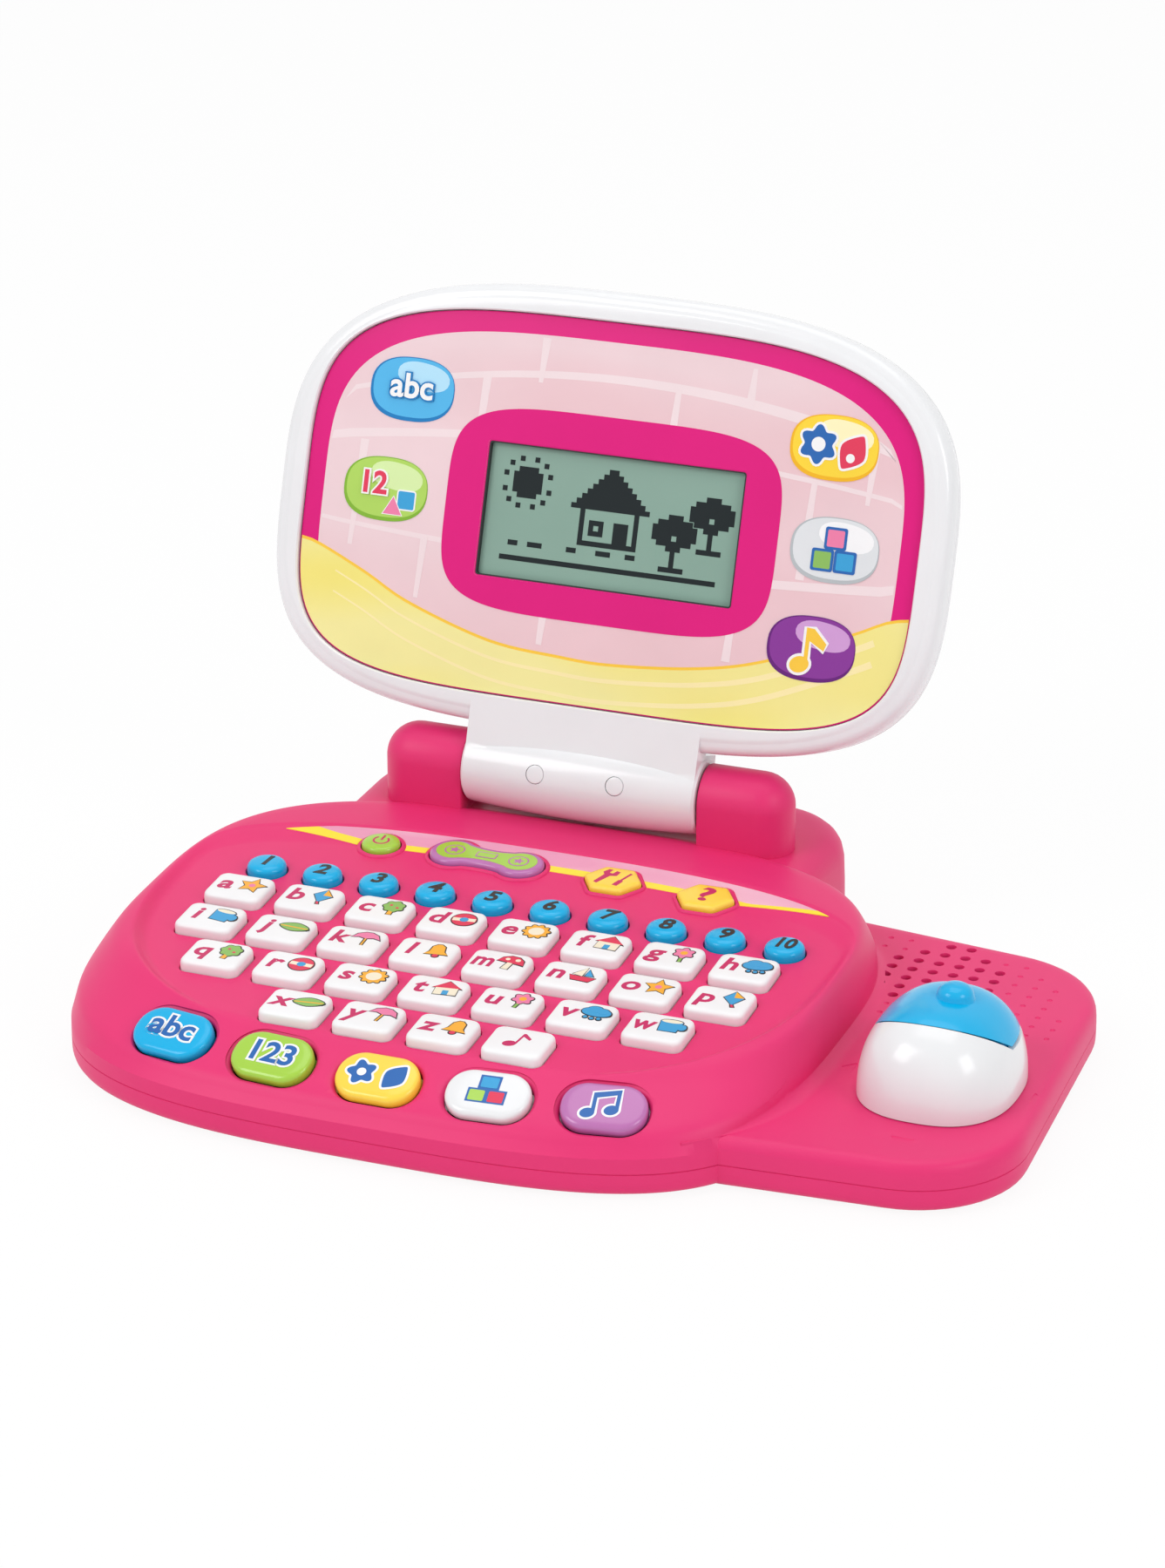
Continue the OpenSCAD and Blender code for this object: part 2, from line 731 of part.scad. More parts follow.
module base_lower() {
    home()
        color(pink)
            difference() {
                union() {
                    difference() {
                        union() {
                            translate([0, 0, belly_z + 2.5])
                                linear_extrude(parting_z - belly_z - 2.5)
                                    base_plan(0);
                            translate([0, 0, belly_z + 0.9])
                                linear_extrude(1.6 + eps)
                                    base_plan(0.8);
                            translate([0, 0, belly_z])
                                linear_extrude(0.9 + eps)
                                    base_plan(2.4);
                        }
                        translate([0, 0, belly_z + wall])
                            linear_extrude(parting_z)
                                base_plan(wall + 2.4);
                    }
                    for (s = shell_screws)
                        translate([s.x, s.y, belly_z])
                            cylinder(parting_z - belly_z, r = boss_r + 1.6, $fn = ROUND);
                    for (p = board_posts)
                        translate([p.x, p.y, belly_z])
                            cylinder(floor_at(p.y) - board_low - belly_z, r = board_post_r, $fn = ROUND);
                    for (x = [-1, 1])
                        translate([x * mode_post_x, mode_post_y, belly_z])
                            cylinder(mode_mid_z - belly_z, r = board_post_r, $fn = ROUND);
                    translate([-door_half.x - box_wall, door_mid_y - door_half.y - box_wall, belly_z])
                        cube([2 * (door_half.x + box_wall), 2 * (door_half.y + box_wall),
                              cell_box_top + box_wall - belly_z]);
                    for (p = feet_at)
                        translate([p.x, p.y, belly_z])
                            cylinder(foot_h + wall, r = foot_r + 2, $fn = ROUND);
                }
                translate([-door_half.x, door_mid_y - door_half.y, 0])
                    cube([2 * door_half.x, 2 * door_half.y, cell_box_top]);
                for (s = shell_screws)
                    translate([s.x, s.y, 0]) {
                        cylinder(screw_head_z + screw_head_h, r = screw_head_r + 0.2, $fn = ROUND);
                        cylinder(parting_z + 1, r = screw_r + 0.3, $fn = ROUND);
                    }
                for (p = feet_at)
                    translate([p.x, p.y, 0])
                        cylinder(foot_h, r = foot_r, $fn = ROUND);
                on_floor()
                    translate([-clear_cut / 2, -board_front, -board_low])
                        cube([clear_cut, board_front + board_back + 6, board_low]);
                at_mode(2)
                    translate([-clear_cut / 2, -mode_board.y, -mode_board_top - board_t])
                        cube([clear_cut, 3 * mode_board.y, mode_board_top + 4 * mode_h]);
            }
}

module battery_door() {
    home()
        color(pink)
            translate([-door_half.x + door_gap, door_mid_y - door_half.y + door_gap, belly_z])
                cube([2 * (door_half.x - door_gap), 2 * (door_half.y - door_gap), wall]);
}

module batteries() {
    home()
        color([0.85, 0.62, 0.25])
            for (i = [-1:1])
                translate([-cell_len / 2 + 0.5, door_mid_y + i * cell_pitch, cell_z])
                    rotate([0, 90, 0]) {
                        cylinder(cell_len - 1, r = cell_r, $fn = ROUND);
                        translate([0, 0, cell_len - 1 - eps])
                            cylinder(1 + eps, r = 2.7, $fn = ROUND);
                    }
}

module battery_contacts() {
    home()
        color(steel)
            for (i = [-1:1])
                translate([0, door_mid_y + i * cell_pitch, cell_z]) {
                    for (side = [-1, 1])
                        translate([side * (door_half.x - contact_t / 2), 0, 0])
                            cube([contact_t, contact_w, contact_w], center = true);
                    translate([-door_half.x + contact_t - eps, 0, 0])
                        rotate([0, 90, 0])
                            cylinder(door_half.x - cell_len / 2 + 0.5 - contact_t + eps,
                                     r1 = spring_wide_r, r2 = spring_tip_r, $fn = ROUND);
                    translate([cell_len / 2 + 0.5, 0, 0])
                        rotate([0, 90, 0])
                            cylinder(door_half.x - cell_len / 2 - 0.5 - contact_t + eps,
                                     r = spring_tip_r, $fn = ROUND);
                }
}

module screws() {
    home()
        color(steel)
            for (s = shell_screws)
                translate([s.x, s.y, screw_head_z]) {
                    cylinder(screw_head_h, r = screw_head_r, $fn = ROUND);
                    cylinder(screw_len, r = screw_r - 0.02, $fn = ROUND);
                }
}

module feet() {
    home()
        color(dark)
            for (p = feet_at)
                translate([p.x, p.y, 0])
                    cylinder(foot_h, r = foot_r, $fn = ROUND);
}

module circuit_board() {
    home()
        color([0.10, 0.42, 0.22]) {
            on_floor()
                translate([-board_half, -board_front, -board_low])
                    cube([2 * board_half, board_front + board_back, board_t]);
            difference() {
                at_mode(2)
                    translate([-mode_board.x / 2, -5, -mode_board_top - board_t])
                        cube([mode_board.x, mode_board.y, board_t]);
                for (s = shell_screws)
                    translate([s.x, s.y, parting_z])
                        cylinder(s.z, r = boss_r + 1, $fn = ROUND);
            }
            for (i = [0:4])
                at_mode(i)
                    translate([0, 0, -mode_board_top - 0.5])
                        cylinder(mode_board_top + 0.5 - mode_low - mode_travel - pad_gap,
                                 r = button_stub_r, $fn = ROUND);
        }
}

module rubber_keypad() {
    home()
        color([0.80, 0.80, 0.78])
            on_floor() {
                translate([-board_half, -board_front, -board_top])
                    cube([2 * board_half, board_front + board_back, sheet_t]);
                for (k = LETTERS)
                    at_letter(k)
                        translate([0, 0, -sheet_top - eps])
                            cylinder(dome_h + eps, r1 = dome_r, r2 = dome_r - 1, $fn = ROUND);
                for (i = [0:9])
                    at_number(i)
                        translate([0, 0, -sheet_top - eps])
                            cylinder(dome_h + eps, r1 = dome_r, r2 = dome_r - 1, $fn = ROUND);
                for (at = [power_at, selector_at, tools_at, help_at])
                    translate([at.x, at.y, -sheet_top - eps])
                        cylinder(dome_h + eps, r1 = dome_r, r2 = dome_r - 1, $fn = ROUND);
            }
}

module speaker() {
    home()
        color(dark)
            translate([speaker_x, speaker_y, speaker_top - speaker_h]) {
                cylinder(speaker_h - 5, r = magnet_r, $fn = ROUND);
                translate([0, 0, speaker_h - 5 - eps])
                    cylinder(3 + 2 * eps, r1 = magnet_r, r2 = speaker_r - 2, $fn = ROUND);
                translate([0, 0, speaker_h - 2])
                    cylinder(2, r = speaker_r, $fn = ROUND);
            }
}

// Printed strip on the well's sloped back wall: it follows the wall from its foot to just below the rim
label_t = 0.4;
label_gap = 0.08;   // adhesive under it
label_side = 3;     // outline points left bare at each end
label_share = [0.04, 0.94];     // its edges, between the wall's foot and the rim
function label_point(i, share, lift) =
    let (low = well_ring(well_side, label_slope, floor_z, floor_slope)[i],
         high = well_ring(0, 0, rim_z, rim_slope)[i])
        low + share * (high - low) + [0, 0, lift];
module function_label() {
    ends = [label_side, COUNT / 2 - label_side];
    loft_rows = [for (i = [ends[0]:ends[1]])
        [label_point(i, label_share[0], label_gap), label_point(i, label_share[1], label_gap),
         label_point(i, label_share[1], label_gap + label_t),
         label_point(i, label_share[0], label_gap + label_t)]];
    n = len(loft_rows);
    home()
        color([0.98, 0.78, 0.84])
            difference() {
                polyhedron([for (r = loft_rows) each r], concat(
                    [[0, 1, 2, 3]], [[for (c = [3:-1:0]) (n - 1) * 4 + c]],
                    [for (k = [0:n - 2], c = [0:3])
                        let (a = k * 4 + c, b = k * 4 + (c + 1) % 4, d = a + 4, e = b + 4)
                            each [[a, d, e], [a, e, b]]]));
                on_floor()
                    translate([0, 0, -wall])
                        linear_extrude(12) {
                            power_shape(collar + 0.3);
                            selector_shape(collar + 0.3);
                            for (at = [tools_at, help_at])
                                translate(at)
                                    circle(hex_w / 2 + collar, $fn = ROUND);
                        }
            }
}

module hinge_pins() {
    home()
        color(steel)
            ears()
                translate([barrel_half - pin_in_barrel, hinge_y, hinge_z])
                    rotate([0, 90, 0])
                        cylinder(pin_in_barrel + ear_gap + pin_in_ear, r = pin_r - 0.01, $fn = ROUND);
}

// ---- keys and buttons ----

module letter_key(k) {
    at = [first_col_x + k[1] * key_pitch_x, first_row - k[2] * key_pitch_y];
    home()
        color(white) {
            floor_button(key_h) {
                at_letter(k)
                    letter_shape(0);
                at_letter(k)
                    round_rect(key_w + 2 * flange_w, key_d, key_r);
            }
            stub(at);
        }
}

module number_comb(from, to) {
    home()
        color(blue) {
            for (i = [from:to]) {
                floor_button(key_h) {
                    at_number(i)
                        number_shape(0);
                    at_number(i)
                        number_shape(flange_w);
                }
                stub([number_x0 + i * number_pitch, number_y]);
            }
            on_floor()
                translate([number_x0 + from * number_pitch, number_y - 1.5, -flange_low])
                    cube([(to - from) * number_pitch, 3, flange_t]);
        }
}

module number_keys_1_5() number_comb(combs[0][0], combs[0][1]);
module number_keys_6_10() number_comb(combs[1][0], combs[1][1]);

module power_button() {
    home()
        color(lime) {
            floor_button(function_h) {
                power_shape(0);
                power_shape(flange_w);
            }
            stub(power_at);
        }
}

module player_selector() {
    home()
        color(purple) {
            floor_button(function_h) {
                selector_shape(0);
                selector_shape(flange_w);
            }
            stub(selector_at);
        }
}

module tools_button() {
    home()
        color(yellow) {
            floor_button(function_h) {
                hex_shape(tools_at, 0);
                hex_shape(tools_at, flange_w);
            }
            stub(tools_at);
        }
}

module help_button() {
    home()
        color(yellow) {
            floor_button(function_h) {
                hex_shape(help_at, 0);
                hex_shape(help_at, flange_w);
            }
            stub(help_at);
        }
}

module mode_button(i) {
    home()
        color(mode_colours[i])
            at_mode(i) {
                translate([0, 0, -mode_skirt])
                    linear_extrude(mode_skirt + mode_h)
                        mode_shape(0);
                translate([0, 0, -mode_low])
                    linear_extrude(mode_low)
                        round_rect(mode_plug_w, mode_plug_d, key_r);
                translate([0, 0, -mode_low])
                    linear_extrude(flange_t)
                        round_rect(mode_w + 2 * flange_w, mode_plug_d, key_r);
            }
}

// ---- the lid ----

function plate_outline(g) = oval(plate_half + g, plate_half_h + g, plate_half_h + g, 4.6, 3.3);

// Solid of the lid's barrel: a cylinder that swells towards its middle, about local X
module barrel(grow) {
    rise = barrel_mid_r - barrel_end_r;
    swell_r = (barrel_half * barrel_half + rise * rise) / (2 * rise);
    rotate([0, 90, 0])
        rotate_extrude($fn = ROUND)
            intersection() {
                translate([barrel_mid_r + grow - swell_r, 0])
                    circle(swell_r, $fn = 4 * ROUND);
                translate([0, -barrel_half - grow])
                    square([barrel_mid_r + grow + 1, 2 * (barrel_half + grow)]);
            }
}

module lid_front() {
    home()
        color(white)
            on_lid()
                difference() {
                    union() {
                        difference() {
                            union() {
                                loft([
                                    lid_ring(0, lid_split_e), lid_ring(0.3, lid_front_e - 4),
                                    lid_ring(1.6, lid_front_e - 1.4), lid_ring(5, lid_front_e)
                                ]);
                                translate([-neck_half, 0, lid_split_e])
                                    cube([2 * neck_half, neck_len + 14, lid_front_e - lid_split_e]);
                                translate([-neck_half, 0, -neck_back])
                                    cube([2 * neck_half, neck_len, neck_back + lid_split_e]);
                                barrel(0);
                            }
                            loft([lid_ring(wall, lid_split_e - 1), lid_ring(wall + 0.5, shelf_low)]);
                            translate([-neck_half + wall, 0, -neck_back + wall])
                                cube([2 * (neck_half - wall), neck_len - wall,
                                      neck_back + lid_front_e - 2 * wall]);
                        }
                        for (p = lid_screws_at)
                            translate([p.x, p.y, lid_post_top])
                                cylinder(shelf_low - lid_post_top + eps, r = lid_boss_r, $fn = ROUND);
                        for (side = [-1, 1])
                            translate([side * (barrel_half - pin_in_barrel / 2 - wall / 2), 0, 0])
                                rotate([0, 90, 0])
                                    cylinder(pin_in_barrel + wall, r = barrel_end_r - wall,
                                             center = true, $fn = ROUND);
                    }
                    translate([lid_shift, lid_mid, shelf_top])
                        linear_extrude(10)
                            polygon(plate_outline(0.3));
                    translate([-screen_w / 2 - 1, screen_mid - screen_h / 2 - 1, 0])
                        cube([screen_w + 2, screen_h + 2, 20]);
                    for (side = [-1, 1])
                        translate([side * (barrel_half + 1), 0, 0])
                            rotate([0, -side * 90, 0])
                                cylinder(pin_in_barrel + 1, r = pin_r + pin_gap, $fn = ROUND);
                    for (side = [-1, 1])
                        translate([side * plug_x, 0, plug_seat])
                            cylinder(6, r = plug_r, $fn = ROUND);
                    for (p = lid_screws_at)
                        translate([p.x, p.y, lid_post_top - 1])
                            cylinder(lid_screw_len - 1, r = screw_r, $fn = ROUND);
                }
}

module lid_back() {
    home()
        color(white)
            on_lid()
                difference() {
                    union() {
                        mirror([0, 0, 1])
                            difference() {
                                loft(lid_back_rings);
                                loft([
                                    lid_ring(wall, -lid_split_e - 1), lid_ring(wall + 1.6, 0.5 - wall),
                                    lid_ring(wall + 4.2, lid_back_e - 3 - wall),
                                    lid_ring(wall + 10, lid_back_e - wall)
                                ]);
                            }
                        for (p = lid_screws_at)
                            translate([p.x, p.y, -lid_back_e + wall / 2])
                                cylinder(lid_post_top + lid_back_e - wall / 2, r = lid_boss_r, $fn = ROUND);
                    }
                    barrel(0.3);
                    for (p = lid_screws_at)
                        translate([p.x, p.y, -lid_back_e - 1]) {
                            cylinder(1 + lid_head_t, r = screw_head_r + 0.2, $fn = ROUND);
                            cylinder(lid_back_e, r = screw_r + 0.3, $fn = ROUND);
                        }
                }
}

module faceplate() {
    home()
        color(magenta)
            on_lid()
                difference() {
                    translate([lid_shift, lid_mid, shelf_top])
                        linear_extrude(plate_t)
                            polygon(plate_outline(0));
                    translate([-screen_w / 2, screen_mid - screen_h / 2, 0])
                        cube([screen_w, screen_h, 20]);
                }
}

module lcd_window() {
    home()
        color([0.62, 0.70, 0.66])
            on_lid()
                translate([-screen_w / 2 - 0.8, screen_mid - screen_h / 2 - 0.8, shelf_low])
                    cube([screen_w + 1.6, screen_h + 1.6, window_t]);
}

module lcd_module() {
    home()
        color(dark)
            on_lid()
                translate([-screen_w / 2 - 5, screen_mid - screen_h / 2 - 6, shelf_low - module_t])
                    cube([screen_w + 10, screen_h + 12, module_t]);
}

module screw_plugs() {
    home()
        color(white)
            on_lid()
                for (side = [-1, 1])
                    translate([side * plug_x, 0, plug_seat])
                        cylinder(plug_t, r = plug_r - 0.1, $fn = ROUND);
}

module lid_screws() {
    home()
        color(steel)
            on_lid()
                for (p = lid_screws_at)
                    translate([p.x, p.y, -lid_back_e + 0.1]) {
                        cylinder(lid_head_t - 0.1, r = screw_head_r, $fn = ROUND);
                        cylinder(lid_screw_len, r = screw_r - 0.02, $fn = ROUND);
                    }
}

// ---- the mouse ----

// Dome of the mouse, moved inwards by t
function mouse_ring(inset, z) = [
    for (p = oval(mouse_half_w - inset, mouse_half_l - inset, mouse_half_l - inset, 2.3, 2.3))
        [p.x + mouse_x, p.y + mouse_y, mouse_base_z + z]
];
module mouse_dome(t) {
    loft([for (a = [0:12:84]) mouse_ring(t + (mouse_half_w - 1) * (1 - cos(a)), (mouse_h - t) * sin(a))]);
}

module mouse_carriage() {
    home()
        color([0.55, 0.56, 0.58])
            translate([mouse_x, mouse_y, carriage_top - carriage_t])
                difference() {
                    translate([-carriage_half, -carriage_half, 0])
                        cube([2 * carriage_half, 2 * carriage_half, carriage_t]);
                    translate([-stem_r - 0.3, -stem_hole, -1])
                        cube([2 * stem_r + 0.6, 2 * stem_hole, carriage_t + 2]);
                }
}

// Space over the click button's edges, with a gap below them and, times turn, room for them to go down
module click_space(gap, turn) {
    side_y = click_front.x + (click_front.y - click_side_z) / click_slope;
    far_y = mouse_y + mouse_half_l + 1;
    side_dip = turn * (side_y - click_front.x + click_slope * (click_front.y - click_side_z));
    far_dip = turn * (far_y - click_front.x);
    translate([mouse_x - mouse_half_w - 1, 0, 0])
        rotate([90, 0, 90])
            linear_extrude(2 * mouse_half_w + 2)
                polygon([
                    [click_front.x - 20, click_front.y + 20 * click_slope - gap],
                    [side_y, click_side_z - gap - side_dip],
                    [far_y, click_side_z - gap - far_dip],
                    [far_y, click_front.y + 20 * click_slope + 5],
                    [click_front.x - 20, click_front.y + 20 * click_slope + 5]
                ]);
}

module mouse_body() {
    home()
        color(white) {
            difference() {
                mouse_dome(0);
                translate([0, 0, mouse_wall])
                    mouse_dome(mouse_wall);
                click_space(click_gap, sin(click_turn));
            }
            translate([mouse_x, mouse_y, stem_low]) {
                cylinder(mouse_base_z - stem_low + eps, r = stem_r, $fn = ROUND);
                cylinder(stem_flange_t, r = stem_r + 2, $fn = ROUND);
            }
        }
}

module mouse_button() {
    home()
        color(blue) {
            intersection() {
                difference() {
                    mouse_dome(0);
                    mouse_dome(mouse_wall);
                }
                click_space(0, 0);
            }
            translate(nub_at)
                difference() {
                    sphere(nub_r, $fn = ROUND);
                    translate([-nub_r, -nub_r, -2 * nub_r])
                        cube(2 * nub_r);
                }
        }
}

// ---- nodes ----

KEY_NAMES = [for (k = LETTERS) str("key_", k[0])];
MODE_NAMES = [for (m = MODES) str("mode_", m)];

base_upper();
base_lower();
battery_door();
batteries();
battery_contacts();
screws();
feet();
circuit_board();
rubber_keypad();
speaker();
function_label();
hinge_pins();
number_keys_1_5();
number_keys_6_10();
power_button();
player_selector();
tools_button();
help_button();
lid_front();
lid_back();
faceplate();
lcd_window();
lcd_module();
screw_plugs();
lid_screws();
mouse_carriage();
mouse_body();
mouse_button();
for (i = [0:len(LETTERS) - 1])
    letter_key(LETTERS[i]);
for (i = [0:len(MODES) - 1])
    mode_button(i);
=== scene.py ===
from math import asin, atan2, cos, hypot, pi, radians, sin, tan

import bpy
from mathutils import Matrix, Vector


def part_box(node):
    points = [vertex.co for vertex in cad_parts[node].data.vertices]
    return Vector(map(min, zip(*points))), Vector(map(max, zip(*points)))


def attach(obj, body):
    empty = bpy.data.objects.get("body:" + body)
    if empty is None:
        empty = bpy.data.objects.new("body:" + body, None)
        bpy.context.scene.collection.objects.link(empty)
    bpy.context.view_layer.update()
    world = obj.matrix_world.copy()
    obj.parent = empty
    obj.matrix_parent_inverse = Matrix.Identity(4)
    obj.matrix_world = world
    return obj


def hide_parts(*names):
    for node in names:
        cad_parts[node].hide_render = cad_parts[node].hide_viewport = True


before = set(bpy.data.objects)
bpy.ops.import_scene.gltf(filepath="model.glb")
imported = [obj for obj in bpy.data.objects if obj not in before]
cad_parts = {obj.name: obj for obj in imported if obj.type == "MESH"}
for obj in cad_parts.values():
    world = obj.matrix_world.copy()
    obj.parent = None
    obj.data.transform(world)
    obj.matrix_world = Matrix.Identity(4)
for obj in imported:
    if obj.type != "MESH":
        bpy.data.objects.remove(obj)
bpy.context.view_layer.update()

# ---- Lower shell ------------------------------------------------------------------------------
# The shallow pink tray under the whole toy: one injection moulding in satin ABS, its lower edge
# rolled in towards the table. It is screwed to the upper shell from below.

SHELL_POINTS = 288
BODY_HALF, BODY_RIGHT, BODY_MID_Y, BODY_FRONT, BODY_BACK = 126.8, 121.2, -10.6, 100.6, 95.8
BODY_FRONT_N, BODY_BACK_N = 3.25, 3.2
RIGHT_SHARE, RIGHT_POWER = 0.5, 6      # the platform's side of the body is narrower and steeper
PARTING_Z = 9.0
REAR_HALF, REAR_FRONT_Y, REAR_Y, REAR_RADII = 85.5, 58.0, 126.0, [12, 12, 30, 30]
PLATFORM_CORNERS = [(60, -88.9), (194, -80.5), (187.3, 72.5), (60, 87.9)]
PLATFORM_RADII = [8, 36.5, 36.5, 8]

# millimetres on the keyboard's own centre line to metres in the shared frame
pin_low, pin_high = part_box("hinge_pins")
HINGE_Y, HINGE_Z = 82.7, 53.1
HOME = Matrix.Translation(((pin_low.x + pin_high.x) / 2,
                           (pin_low.y + pin_high.y) / 2 - HINGE_Y / 1000, 0)) @ Matrix.Scale(0.001, 4)


def only(*pieces):
    """Selects these pieces alone, the first one active."""
    bpy.ops.object.select_all(action="DESELECT")
    for piece in pieces:
        piece.select_set(True)
    bpy.context.view_layer.objects.active = pieces[0]


def to_edit(piece):
    only(piece)
    bpy.ops.object.mode_set(mode="EDIT")
    bpy.ops.mesh.select_all(action="SELECT")


def finish_edit(piece, name):
    bpy.ops.mesh.normals_make_consistent(inside=False)
    bpy.ops.object.mode_set(mode="OBJECT")
    piece.name = piece.data.name = name
    return piece


def level(outline, z):
    return [(x, y, z) for x, y in outline]


def skin(name, rings):
    """A closed moulding whose skin runs through rings of equally many points."""
    across, along = len(rings[0]), len(rings)
    bpy.ops.object.select_all(action="DESELECT")
    bpy.ops.mesh.primitive_grid_add(x_subdivisions=across, y_subdivisions=along - 1, size=1)
    piece = bpy.context.active_object
    points = [value for ring in rings for point in list(ring) + [ring[0]] for value in point]
    piece.data.vertices.foreach_set("co", points)
    to_edit(piece)
    bpy.ops.mesh.remove_doubles(threshold=0.0004)
    bpy.ops.mesh.fill_holes(sides=0)
    return finish_edit(piece, name)


def stack(name, outline_of, profile):
    """A moulding from one outline; its profile says how the outline changes with height."""
    return skin(name, [level(outline_of(change), z) for change, z in profile])


def slab(name, outline, low, high):
    """A flat plate or print: a filled circle taken to the outline and extruded."""
    bpy.ops.object.select_all(action="DESELECT")
    bpy.ops.mesh.primitive_circle_add(vertices=len(outline), radius=1, fill_type="NGON")
    piece = bpy.context.active_object
    for vertex, point in zip(piece.data.vertices, outline):
        vertex.co = (point[0], point[1], low)
    to_edit(piece)
    bpy.ops.mesh.extrude_region_move(TRANSFORM_OT_translate={"value": (0, 0, high - low)})
    bpy.ops.mesh.select_all(action="SELECT")
    return finish_edit(piece, name)


def polar(radius, angle, at=(0, 0)):
    return at[0] + radius * cos(angle), at[1] + radius * sin(angle)


def disc(x, y, radius, count=40):
    return [polar(radius, 2 * pi * k / count, (x, y)) for k in range(count)]


def box(x0, y0, x1, y1):
    return [(x0, y0), (x1, y0), (x1, y1), (x0, y1)]


def oval(half, front, back, n_front, n_back, mid_y=0.0, count=SHELL_POINTS):
    outline = []
    for step in range(count):
        c, s = polar(1, 2 * pi * step / count)
        reach, n = (front, n_front) if s < 0 else (back, n_back)
        radius = ((abs(c) / half) ** n + (abs(s) / reach) ** n) ** (-1 / n)
        outline.append((radius * c, mid_y + radius * s))
    return outline


def round_outline(corners, radii, inset, steps=14):
    """Straight sides with round corners, moved inwards."""
    outline = []
    count = len(corners)
    for i in range(count):
        a, p, b = (Vector(corners[(i + k) % count]) for k in (-1, 0, 1))
        u, v = (p - a).normalized(), (b - p).normalized()
        turn = atan2(u.x * v.y - u.y * v.x, u.dot(v))
        centre = p - u * radii[i] * tan(turn / 2) + radii[i] * Vector((-u.y, u.x))
        start = atan2(-u.x, u.y)
        for step in range(steps + 1):
            angle = start + turn * step / steps
            outline.append(tuple(centre + (radii[i] - inset) * Vector((cos(angle), sin(angle)))))
    return outline


def round_rect(width, depth, radius, inset=0.0, steps=8):
    return round_outline(box(-width / 2, -depth / 2, width / 2, depth / 2), [radius] * 4, inset, steps)


def settle(piece, place=Matrix.Identity(4)):
    """Takes a piece from its own millimetres to its place in the toy; the place goes into the mesh."""
    piece.data.transform(HOME @ place)
    piece.data.update()
    return piece


def combine(piece, tool, operation):
    """Adds, cuts or keeps the common part of two closed mouldings."""
    bpy.ops.object.select_all(action="DESELECT")
    bpy.context.view_layer.objects.active = piece
    step = piece.modifiers.new(operation.lower(), "BOOLEAN")
    step.operation, step.object, step.solver = operation, tool, "MANIFOLD"
    bpy.ops.object.modifier_apply(modifier=step.name)
    bpy.data.objects.remove(tool)


def add(piece, *tools):
    for tool in tools:
        combine(piece, tool, "UNION")


def cut(piece, *tools):
    for tool in tools:
        combine(piece, tool, "DIFFERENCE")


def join(pieces, name):
    only(*pieces)
    bpy.ops.object.join()
    pieces[0].name = pieces[0].data.name = name
    return pieces[0]


def soften(piece, degrees=32):
    only(piece)
    bpy.ops.object.shade_smooth_by_angle(angle=radians(degrees))
    return piece


def add_node(tree, kind, sockets=(), **settings):
    """A shader node with its settings, then the values of its sockets."""
    node = tree.nodes.new("ShaderNode" + kind)
    for setting, value in settings.items():
        setattr(node, setting, value)
    for socket, value in dict(sockets).items():
        node.inputs[socket].default_value = value
    return node


def wire(tree, *wires):
    """Links sockets; each wire names a node, its output, the next node and its input."""
    for a, output, b, socket in wires:
        tree.links.new(a.outputs[output], b.inputs[socket])


# moulding finish, as one group: slow drift of the colour, fine grain of the tool's surface
moulding = bpy.data.node_groups.new("moulded_surface", "ShaderNodeTree")
for way, socket, kind in (
        ("INPUT", "Colour", "Color"), ("INPUT", "Rough", "Float"), ("INPUT", "Grain", "Float"),
        ("INPUT", "Depth", "Float"), ("OUTPUT", "Colour", "Color"), ("OUTPUT", "Rough", "Float"),
        ("OUTPUT", "Normal", "Vector")):
    moulding.interface.new_socket(socket, in_out=way, socket_type="NodeSocket" + kind)
given, result = moulding.nodes.new("NodeGroupInput"), moulding.nodes.new("NodeGroupOutput")
coords = add_node(moulding, "TexCoord")
drift = add_node(moulding, "TexNoise", {"Scale": 38, "Detail": 3})
handled = add_node(moulding, "TexNoise", {"Scale": 9, "Detail": 5})
grain = add_node(moulding, "TexNoise", {"Detail": 2})
tone = add_node(moulding, "MapRange", {"To Min": 0.955, "To Max": 1.045})
shade = add_node(moulding, "VectorMath", operation="SCALE")
worn = add_node(moulding, "MapRange", {"To Min": -0.05, "To Max": 0.07})
rough = add_node(moulding, "Math", operation="ADD")
bump = add_node(moulding, "Bump", {"Distance": 0.0001})
wire(moulding, (coords, "Object", drift, "Vector"), (coords, "Object", handled, "Vector"),
     (coords, "Object", grain, "Vector"), (given, "Grain", grain, "Scale"), (drift, 0, tone, "Value"),
     (given, "Colour", shade, 0), (tone, 0, shade, "Scale"), (shade, 0, result, "Colour"),
     (handled, 0, worn, "Value"), (worn, 0, rough, 0), (given, "Rough", rough, 1),
     (rough, 0, result, "Rough"), (grain, 0, bump, "Height"), (given, "Depth", bump, "Strength"),
     (bump, 0, result, "Normal"))


